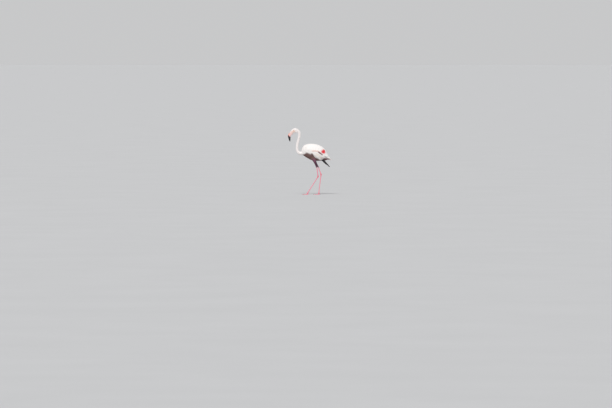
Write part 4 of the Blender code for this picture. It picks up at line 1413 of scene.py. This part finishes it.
# Each row's tips follow a line, and its feathers point the way that aim says, in degrees. A row seen from
# the side has x and z on its line and stands on both sides. One seen from above or below has x and y.
usualRow = {"from": "side", "thickness": 0.0007, "shape": "covert", "region": "wing", "stagger": 0.06,
            "stretch": 1.0, "heldTo": 0.0}
tailRow = {"thickness": 0.0006, "region": "tail", "from": "above"}
plumeRow = {"thickness": 0.0008, "shape": "plume"}
rows = {
    "secondaries": {
        "line": [(0.050, 0.563), (0.076, 0.548), (0.108, 0.543), (0.136, 0.560)], "count": 14,
        "aim": (-40, -28), "length": (0.060, 0.088), "slim": 0.115, "lift": (0.0050, 0.0075),
        "shape": "plume"},
    "covertRow": {
        "line": [(-0.160, 0.674), (-0.110, 0.661), (-0.066, 0.655), (-0.030, 0.632), (0.005, 0.602),
                 (0.042, 0.576), (0.080, 0.562)],
        "count": 32, "aim": (-32, -38), "length": (0.030, 0.052), "slim": 0.17, "lift": (0.0040, 0.0054)},
    "covertRowInner": {
        "line": [(-0.160, 0.690), (-0.100, 0.676), (-0.050, 0.668), (0.000, 0.636), (0.045, 0.606),
                 (0.092, 0.588)],
        "count": 30, "aim": (-30, -34), "length": (0.028, 0.048), "slim": 0.17, "lift": (0.0046, 0.0060)},
    "tailUnderRow": {
        **tailRow, "from": "below", "line": mirrored([(0.212, 0.030), (0.226, 0.018), (0.232, 0.0)]),
        "count": 11, "aim": (-14, 14), "length": (0.048, 0.048), "slim": 0.19, "lift": (0.0014, 0.0026)},
    "tailTopRow": {
        **tailRow, "line": mirrored([(0.216, 0.031), (0.232, 0.020), (0.240, 0.0)]),
        "count": 13, "aim": (-14, 14), "length": (0.046, 0.046), "slim": 0.18, "lift": (0.0016, 0.0030)},
    "rumpRowLower": {
        **tailRow, "line": mirrored([(0.203, 0.029), (0.216, 0.018), (0.224, 0.0)]),
        "count": 14, "aim": (-13, 13), "length": (0.050, 0.050), "slim": 0.17, "lift": (0.0028, 0.0044),
        "stagger": 0.14},
    "rumpRow": {
        **tailRow, "line": mirrored([(0.188, 0.029), (0.200, 0.018), (0.207, 0.0)]),
        "count": 14, "aim": (-12, 12), "length": (0.056, 0.056), "slim": 0.16, "lift": (0.0038, 0.0056),
        "stagger": 0.14},
    "tertials": {
        "line": [(0.128, 0.588), (0.152, 0.584), (0.174, 0.588), (0.192, 0.597), (0.206, 0.610)],
        **plumeRow, "count": 11, "aim": (-34, -28), "length": (0.095, 0.125), "slim": 0.080,
        "lift": (0.0050, 0.0075)},
    "scapularRow": {
        "line": [(-0.118, 0.708), (-0.070, 0.697), (-0.010, 0.694), (0.050, 0.680), (0.095, 0.648),
                 (0.140, 0.620), (0.182, 0.612), (0.214, 0.628)],
        **plumeRow, "count": 32, "aim": (-14, -36), "length": (0.030, 0.088), "slim": 0.12,
        "lift": (0.0052, 0.0072), "region": "back", "heldTo": 0.60},
    "backPlumes": {
        "from": "above", "line": mirrored([(0.196, 0.062), (0.214, 0.040), (0.224, 0.018), (0.228, 0.0)]),
        **plumeRow, "count": 17, "aim": (-9, 9), "length": (0.085, 0.085), "slim": 0.115,
        "lift": (0.0036, 0.0054), "region": "back", "colouredAs": "tail", "stagger": 0.22, "stretch": 1.35},
    "wingEdge": {
        "line": [(-0.040, 0.637), (-0.010, 0.602), (0.030, 0.573), (0.058, 0.5615), (0.086, 0.5565)],
        "count": 28, "aim": (-46, -22), "length": (0.022, 0.034), "slim": 0.19, "lift": (0.0022, 0.0034),
        "thickness": 0.0006},
}


def castRow(view, place, direction, length):
    # root and heading of a feather whose tip shows at a place of the given view
    x, other = place[0] + shift - direction[0] * length, place[1] - direction[1] * length
    if view in ("above", "below"):
        start, toward = (2.0, -1) if view == "above" else (0.3, 1)
        hit = skinTree.ray_cast(Vector((x, other, start)), Vector((0, 0, toward)))[0]
        return hit, Vector((direction[0], direction[1], -0.25))
    return castOnSide(x, other, view), Vector((direction[0], 0, direction[1]))


def makeRow(name, settings):
    settings = {**usualRow, **settings}
    count, (firstAim, lastAim) = settings["count"], settings["aim"]
    (short, long), (lowest, highest) = settings["length"], settings["lift"]
    spread = (1 - settings["stagger"], 1 + settings["stagger"])
    places = curveThrough(settings["line"], np.linspace(0, 1, count))
    roots, headings, lengths = [], [], []
    for view in sideNames if settings["from"] == "side" else (settings["from"],):
        for step, place in enumerate(places):
            share = step / (count - 1)
            aim = math.radians(firstAim + (lastAim - firstAim) * share)
            length = (short + (long - short) * share) * chance.uniform(*spread)
            hit, heading = castRow(view, place, (math.cos(aim), math.sin(aim)), length)
            if hit is not None:
                roots.append(hit)
                headings.append(heading + Vector(chance.normal(0, 0.035, 3)))
                lengths.append(length * settings["stretch"])
    roots, headings, lengths = np.array(roots), np.array(headings), np.array(lengths)
    halfWidths = lengths * settings["slim"] * chance.uniform(0.92, 1.08, len(roots))
    lifts = lowest + (highest - lowest) * chance.uniform(0, 1, len(roots))
    bends = chance.normal(0, 0.10, len(roots)) / lengths
    shape = featherShapes[settings["shape"]]
    *blades, freeFrom = layFeathers(roots, headings, lengths, halfWidths, lifts, shape, bends)
    laid = staysOnSide(blades[2]) if settings["region"] == "tail" else freeFrom > settings["heldTo"]
    featherPiece(name, settings, laid, (roots, lengths, halfWidths), blades, 3, 0.04)


for rowName, row in rows.items():
    makeRow(rowName, row)
print("rows laid")


# flight and tail feathers
flightForm = {
    "line": [(0.066, 0.598, 0.0470, 0.0150), (0.094, 0.572, 0.0525, 0.0200), (0.120, 0.542, 0.0530, 0.0165),
             (0.148, 0.512, 0.0470, 0.0145), (0.177, 0.482, 0.0400, 0.0125), (0.201, 0.458, 0.0350, 0.0085),
             (0.222, 0.439, 0.0320, 0.0022)],   # x, z, distance from the middle, half depth
    "count": 9,
    "halfWidth": 0.0085,
    "narrowing": 0.15,
    "outward": 0.004,
    "thickness": 0.0010,
    "stack": 0.0011,
    "shortest": 0.62,
}
tailForm = {
    "root": (0.150, 0.604),
    "tip": (0.262, 0.556),
    "halfSpread": (0.014, 0.043),
    "count": 12,
    "halfWidth": 0.0118,
    "thickness": 0.0010,
    "arch": 0.005,
    "crown": 0.006,
    "roundness": 0.026,
}
longShape = {
    "section": 6,
    "shares": [0, 0.08, 0.18, 0.30, 0.42, 0.54, 0.65, 0.75, 0.83, 0.89, 0.94, 0.975, 1.0],
    "widths": [0.50, 0.78, 0.94, 1.0, 1.0, 0.98, 0.95, 0.90, 0.82, 0.70, 0.52, 0.30, 0.05],
    "thicks": [1.0, 1.0, 1.0, 0.95, 0.9, 0.85, 0.8, 0.7, 0.6, 0.5, 0.4, 0.35, 0.3],
    "fray": 0.07,
}
roundShape = {
    **longShape, "fray": 0.04,
    "widths": [0.45, 0.66, 0.80, 0.90, 0.96, 1.0, 1.0, 0.99, 0.96, 0.90, 0.76, 0.54, 0.16],
}


def longFeathers(name, shape, lines, ups, halfWidths, thickness, colours, region, finish):
    # lines: for each feather its shaft's points, from root to tip, at the shape's shares
    lines, ups, halfWidths = np.array(lines), np.array(ups), np.array(halfWidths)
    reach = (halfWidths[:, None] * np.array(shape["widths"])[None])[:, :, None]
    aside = np.cross(unit(np.gradient(lines, axis=1)), ups) * reach
    lengths = np.linalg.norm(np.diff(lines, axis=1), axis=2).sum(1)
    mesh = vaneMesh(name, lines, np.stack([lines - aside, lines + aside]), ups, thickness, halfWidths,
                    lengths, shape, np.array(colours), bakePlacesOf(lines[:, 0], region))
    newPiece(name, mesh, *finish)


def makeFlightFeathers(side):
    shares, widths = np.array(longShape["shares"]), np.array(longShape["widths"])
    lines, ups, halfWidths, colours = [], [], [], []
    for i in range(flightForm["count"]):
        rank = i / (flightForm["count"] - 1)
        end = 1 - (1 - flightForm["shortest"]) * rank
        x, z, out, depth = curveThrough(flightForm["line"], shares * end).T
        along = unit(np.gradient(np.stack([x, z], 1), axis=0))
        half = flightForm["halfWidth"] * (1 - flightForm["narrowing"] * rank)
        room = np.maximum(depth - half * widths * 0.9, 0)
        lower = (1 - 2 * rank) * room    # the longest lies along the rear edge
        y = side * (out + flightForm["outward"] - i * flightForm["stack"])
        lines.append(np.stack([x + shift - along[:, 1] * lower, y, z + along[:, 0] * lower], 1))
        ups.append(np.tile([0.0, float(side), 0.0], (len(shares), 1)))
        halfWidths.append(half)
        colours.append(np.array(markings["black"]) * chance.uniform(0.8, 1.4))
    sideName = sideNames[side]
    finish = ("flight", "flight_black", ["primaries_" + sideName])
    longFeathers("flightFeathers" + sideName.capitalize(), longShape, lines, ups, halfWidths,
                 flightForm["thickness"], colours, "wing", finish)


def makeTailFeathers():
    shares = np.array(longShape["shares"])[:, None]
    (rootX, rootZ), (tipX, tipZ) = tailForm["root"], tailForm["tip"]
    (rootY, tipY), arch = tailForm["halfSpread"], tailForm["arch"]
    lines, ups, halfWidths, colours = [], [], [], []
    for i in range(tailForm["count"]):
        fan = 2 * i / (tailForm["count"] - 1) - 1
        start = np.array([rootX + shift, rootY * fan, rootZ - arch * fan ** 2])
        tip = tipX + shift - tailForm["roundness"] * fan ** 2 - chance.uniform(0, 0.003)
        end = np.array([tip, tipY * fan, tipZ - arch * 0.8 * fan ** 2 - 0.0026 * abs(fan)])
        line = start + (end - start) * shares
        line[:, 2] += tailForm["crown"] * np.sin(math.pi * shares[:, 0])
        lines.append(line)
        ups.append(np.tile(unit(np.array([0.4, 0.55 * fan, 1.0])), (len(shares), 1)))
        halfWidths.append(tailForm["halfWidth"])
        dusk = 0.12 + 0.46 * fan ** 4    # the outer ones take more of the painted shade of the tail's underside
        tint = np.array(markings["white"]) * (1 - dusk) + np.array(markings["tailUnderShade"]) * dusk
        colours.append(tint * chance.uniform(0.93, 1.0))
    longFeathers("tailFeathers", roundShape, lines, ups, halfWidths, tailForm["thickness"], colours, "tail",
                 ("vane", "plumage"))


for side in sideNames:
    makeFlightFeathers(side)
makeTailFeathers()
print("flight and tail feathers made")


# bill
billForm = {
    "base": (-0.3875, 0.9885),
    "straight": 0.034,
    "bendRadius": 0.050,
    "bend": math.radians(54),
    "tipLength": 0.075,
    "stations": [(0.0255, 0.0148, 0.0105), (0.0243, 0.0148, 0.0092), (0.0230, 0.0152, 0.0070),
                 (0.0200, 0.0152, 0.0046), (0.0162, 0.0136, 0.0024), (0.0112, 0.0105, 0.0008),
                 (0.0040, 0.0040, 0.0)],   # half depth, half width, height of the gape
    "upperWidth": 0.94,
    "grooves": {1: (0.06, 0.30, 1.0), -1: (0.05, 0.42, 1.2)},    # depth, height and run on each half
    "grooveWidth": 0.12,
    "nostril": (0.20, 0.60),    # share of the length, and height
    "nostrilSize": (0.050, 0.070),
    "rings": 150,
    "columns": 72,
    "parting": 0.0003,
    "overlap": 0.035,       # share of the bill's length that lies back over the face
    "tuck": (0.17, 0.19),   # how much lower and narrower it is there
    "squareness": (0.90, 0.92),
    "innerWidth": 0.985,
    "hollow": 0.06,
    "nostrilDepth": (0.0022, 0.0010),    # inwards and down
    "blackSlant": 0.090,
    "glowAt": 0.370,
    "glowReach": 0.085,
    "glow": 0.75,
    "glowFront": (-0.3, 0.9),
}


def billPlace(share):
    droop, radius, straight = headForm["droop"], billForm["bendRadius"], billForm["straight"]
    bendLength = radius * billForm["bend"]
    along = share * (straight + bendLength + billForm["tipLength"])
    point = Vector((billForm["base"][0] + shift, 0, billForm["base"][1]))
    point += ahead(droop) * min(along, straight)
    turned = min(max(along - straight, 0) / radius, billForm["bend"])
    point -= (above(droop) - above(droop + turned)) * radius
    point += ahead(droop + turned) * max(along - straight - bendLength, 0)
    return point, above(droop + turned)


def makeBillHalf(name, sign, replaced):
    rings, columns = billForm["rings"], billForm["columns"]
    grooveDepth, grooveRise, grooveRun = billForm["grooves"][sign]
    (slitAt, slitRise), (slitLength, slitHeight) = billForm["nostril"], billForm["nostrilSize"]
    (slitIn, slitDown), (squareWide, squareHigh) = billForm["nostrilDepth"], billForm["squareness"]
    points, shares, slits, glows = [], [], [], []
    for ring in range(rings):
        share = ring / (rings - 1) * (1 + billForm["overlap"]) - billForm["overlap"]
        centre, up = billPlace(share)
        depth, width, gape = curveThrough(billForm["stations"], share)[0]
        tuck = max(-share / billForm["overlap"], 0)
        depth *= 1 - billForm["tuck"][0] * tuck
        width *= (1 - billForm["tuck"][1] * tuck) * (billForm["upperWidth"] if sign > 0 else 1)
        reach = sign * depth - gape
        start = centre + up * (gape + sign * billForm["parting"])
        along = math.sin(math.pi * min(share * grooveRun, 1))
        for step in range(columns):
            angle = 2 * math.pi * step / columns
            sideways, rise = math.cos(angle), math.sin(angle)
            slit = 0.0
            if rise >= 0:    # the outer face, with a long groove down each side
                squared = math.copysign(abs(sideways) ** squareWide, sideways)
                groove = math.exp(-((rise - grooveRise) / billForm["grooveWidth"]) ** 2)
                fold = 1 - grooveDepth * groove * along
                point = start + across * (width * squared * fold) + up * (reach * rise ** squareHigh * fold)
            else:            # the inner face, slightly hollow
                inner, hollow = width * billForm["innerWidth"], reach * billForm["hollow"]
                point = start + across * (inner * sideways) + up * (hollow * -rise)
            if sign > 0 and rise > 0:
                lengthwise, upward = (share - slitAt) / slitLength, (rise - slitRise) / slitHeight
                slit = math.exp(-lengthwise ** 4 - upward ** 2)
                point -= across * (slitIn * slit * sideways) + up * (slitDown * slit)
            points.append(point)
            # the black runs further up the front edge, with a warm glow above it there
            place = (point - centre).dot(up) / max(depth, 0.004)
            shares.append(share + billForm["blackSlant"] * place)
            slits.append(slit ** 0.9)
            reached = (shares[-1] - billForm["glowAt"]) / billForm["glowReach"]
            glow = billForm["glow"] * smoothStep(*billForm["glowFront"], place)
            glows.append(glow * math.exp(-reached ** 2))
    mesh = closedMesh(name, points, *tubeFaces(rings, columns))
    mesh.set_sharp_from_angle(angle=math.radians(55))
    setFloats(mesh, "billShare", shares)
    setFloats(mesh, "slit", slits)
    setFloats(mesh, "frontGlow", np.array(glows) * (np.array(shares) < billForm["glowAt"] + 0.05))
    newPiece(name, mesh, "bill", "bill_pink", replaced)


makeBillHalf("billUpper", 1, ["bill_upper", "bill_upper_tip"])
makeBillHalf("billLower", -1, ["bill_lower", "bill_lower_tip"])
print("bill made")


# eyes and lids
eyeForm = {"radius": 0.0056, "sunk": 0.995, "bulge": 0.10, "bulgeReach": 0.62, "irisReach": 1.25,
           "rings": 24, "columns": 32}
lidForm = {"radius": 0.0053, "thickness": 0.0009, "standsOut": (0.0018, 0.0048), "longer": 0.12,
           "lower": 0.10, "upperThickness": 1.25, "breadth": 1.25, "depth": 0.8, "evened": 6, "steps": 64,
           "sides": 14}


def makeEye(side):
    centre = middleOf("eye_" + sideNames[side])
    rings, columns = eyeForm["rings"], eyeForm["columns"]
    points, ring = [], []
    for row in range(1, rings):
        angle = math.pi * row / rings
        swell = 1 + eyeForm["bulge"] * math.exp(-(angle / eyeForm["bulgeReach"]) ** 2)
        for step in range(columns):
            turn = 2 * math.pi * step / columns
            offset = Vector((math.sin(angle) * math.cos(turn), side * math.cos(angle) * swell,
                             math.sin(angle) * math.sin(turn)))
            points.append(centre + offset * (eyeForm["radius"] * eyeForm["sunk"]))
            ring.append(min(angle / eyeForm["irisReach"], 1.0))
    mesh = closedMesh("eye", points, *tubeFaces(rings - 1, columns))
    setFloats(mesh, "ring", ring)
    newPiece("eye" + sideNames[side].capitalize(), mesh, "eye", "eye", ["eye_" + sideNames[side]])


def makeLids(side):
    centre = middleOf("eye_" + sideNames[side])
    steps, sides = lidForm["steps"], lidForm["sides"]
    least, most = (abs(centre.y) + out for out in lidForm["standsOut"])
    places, outs, levels = [], [], []
    for step in range(steps):
        turn = 2 * math.pi * step / steps
        along, rise = math.cos(turn), math.sin(turn)
        radius = lidForm["radius"] * (1 + lidForm["longer"] * abs(along) - lidForm["lower"] * max(rise, 0))
        out = headAhead * along + headUp * rise
        place = centre + out * radius
        hit = castOnSide(place.x, place.z, side)
        places.append(place)
        outs.append(out)
        levels.append(min(max(abs(hit.y) if hit else 0.02, least), most))
    for _ in range(lidForm["evened"]):
        levels = [(levels[i - 1] + 2 * levels[i] + levels[(i + 1) % steps]) / 4 for i in range(steps)]
    points = []
    for place, out, level in zip(places, outs, levels):
        thick = lidForm["thickness"] * (lidForm["upperThickness"] if out.dot(headUp) > 0 else 1.0)
        for corner in range(sides):
            angle = 2 * math.pi * corner / sides
            point = place + out * (thick * lidForm["breadth"] * math.cos(angle))
            outward = level + thick * lidForm["depth"] * math.sin(angle)
            points.append(Vector((point.x, side * outward, point.z)))
    loop = [[i % len(points) for i in face] for face in tubeFaces(steps + 1, sides)[0]]
    mesh = closedMesh("lids", points, loop)
    setColours(mesh, "marking", np.tile(markings["lid"], (len(points), 1)))
    setFloats(mesh, "scaly", np.full(len(points), 0.4))
    newPiece("lids" + sideNames[side].capitalize(), mesh, "skin", "plumage")


for side in sideNames:
    makeEye(side)
    makeLids(side)
print("eyes made")


# claws
clawForm = {"length": 0.0085, "sunk": 0.0042, "arch": 0.0010, "hindArch": 0.3, "flatness": 0.8,
            "shortening": 0.97, "narrowing": 0.25, "rings": 18, "columns": 18}


def clawPoints(node):
    # a curved horn in the place of a plain solid
    source = pointsOf(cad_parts[node].data)
    centre = source.mean(0)
    axis = np.linalg.svd(source - centre)[2][0]
    hind = "hind" in node
    if axis[0] * (1 if hind else -1) < 0:
        axis = -axis
    along = (source - centre) @ axis
    length = along.max() - along.min() + clawForm["sunk"]
    atRoot = source[along < along.min() + clawForm["length"] * 0.25]
    root = atRoot.mean(0) - axis * clawForm["sunk"]
    wide = np.abs((atRoot - root) @ np.array([-axis[1], axis[0], 0]) / np.hypot(axis[0], axis[1])).max()
    sideways = Vector(axis).cross(Vector((0, 0, 1))).normalized()
    up = sideways.cross(Vector(axis)).normalized()
    points = []
    for ring in range(clawForm["rings"]):
        share = ring / (clawForm["rings"] - 1)
        size = wide * (1 - share ** 1.4) ** 0.75 * (1 - clawForm["narrowing"] * share) + 0.0001
        middle = Vector(root) + Vector(axis) * (length * share * clawForm["shortening"])
        middle.z += clawForm["arch"] * math.sin(math.pi * share) * (clawForm["hindArch"] if hind else 1)
        for step in range(clawForm["columns"]):
            angle = 2 * math.pi * step / clawForm["columns"]
            rise = up * (math.sin(angle) * size * clawForm["flatness"])
            point = middle + (sideways * (math.cos(angle) * size) + rise)
            point.z = max(point.z, 0.0002)
            points.append(point)
    return points


def makeClaws():
    points, sides, ends = [], [], []
    nodes = [n for n in sorted(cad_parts) if n.startswith("claw_")]
    for node in nodes:
        newSides, newEnds = tubeFaces(clawForm["rings"], clawForm["columns"])
        sides += [[len(points) + i for i in face] for face in newSides]
        ends += [[len(points) + i for i in face] for face in newEnds]
        points += clawPoints(node)
    newPiece("claws", closedMesh("claws", points, sides, ends), "claw", "claw", nodes)


makeClaws()
print("claws made")


# floor, light and camera
studio = {
    "floorHalf": 1500.0,
    "floorColour": (0.551, 0.554, 0.560, 1),
    "sunStrength": 2.15,
    "sunAngle": math.radians(16),
    "sunAim": (math.radians(44), math.radians(-12), 0),
    "skyColour": (0.985, 0.99, 1.0),
    "skyStrength": 0.585,
}
cameraSet = {
    "lens": 294.0,
    "distance": 80.0,
    "height": 2.185,
    "sideways": -0.0658,
    "pitch": math.radians(1.673),
    "sees": 4000,
}


def makeFloor():
    made, tree, shader = startMaterial("paleFloor")
    mottle = placeGroup(tree, "mottle", Color=studio["floorColour"], Scale=0.8, Darkest=0.97)
    dress(shader, mottle["Color"], 0.85)
    half = studio["floorHalf"]
    corners = [(-half, -half, 0), (half, -half, 0), (half, half, 0), (-half, half, 0)]
    mesh = bpy.data.meshes.new("floor")
    mesh.from_pydata(corners, [], [range(4)])
    mesh.materials.append(made)
    addObject("floor", mesh)


def makeLight():
    sun = bpy.data.lights.new("studioSun", "SUN")
    sun.energy = studio["sunStrength"]
    sun.angle = studio["sunAngle"]
    addObject("studioSun", sun).rotation_euler = studio["sunAim"]
    world = bpy.data.worlds.new("studioSky")
    world.use_nodes = True
    backdrop = world.node_tree.nodes["Background"]
    backdrop.inputs["Color"].default_value = (*studio["skyColour"], 1)
    backdrop.inputs["Strength"].default_value = studio["skyStrength"]
    bpy.context.scene.world = world
    bpy.context.scene.view_settings.view_transform = "Standard"


def makeCamera():
    data = bpy.data.cameras.new("camera")
    data.lens = cameraSet["lens"]
    data.clip_end = cameraSet["sees"]
    camera = addObject("camera", data)
    camera.location = (cameraSet["sideways"], -cameraSet["distance"], cameraSet["height"])
    camera.rotation_euler = (math.pi / 2 - cameraSet["pitch"], 0, 0)
    bpy.context.scene.camera = camera


makeFloor()
makeLight()
makeCamera()
print("floor, light and camera placed")
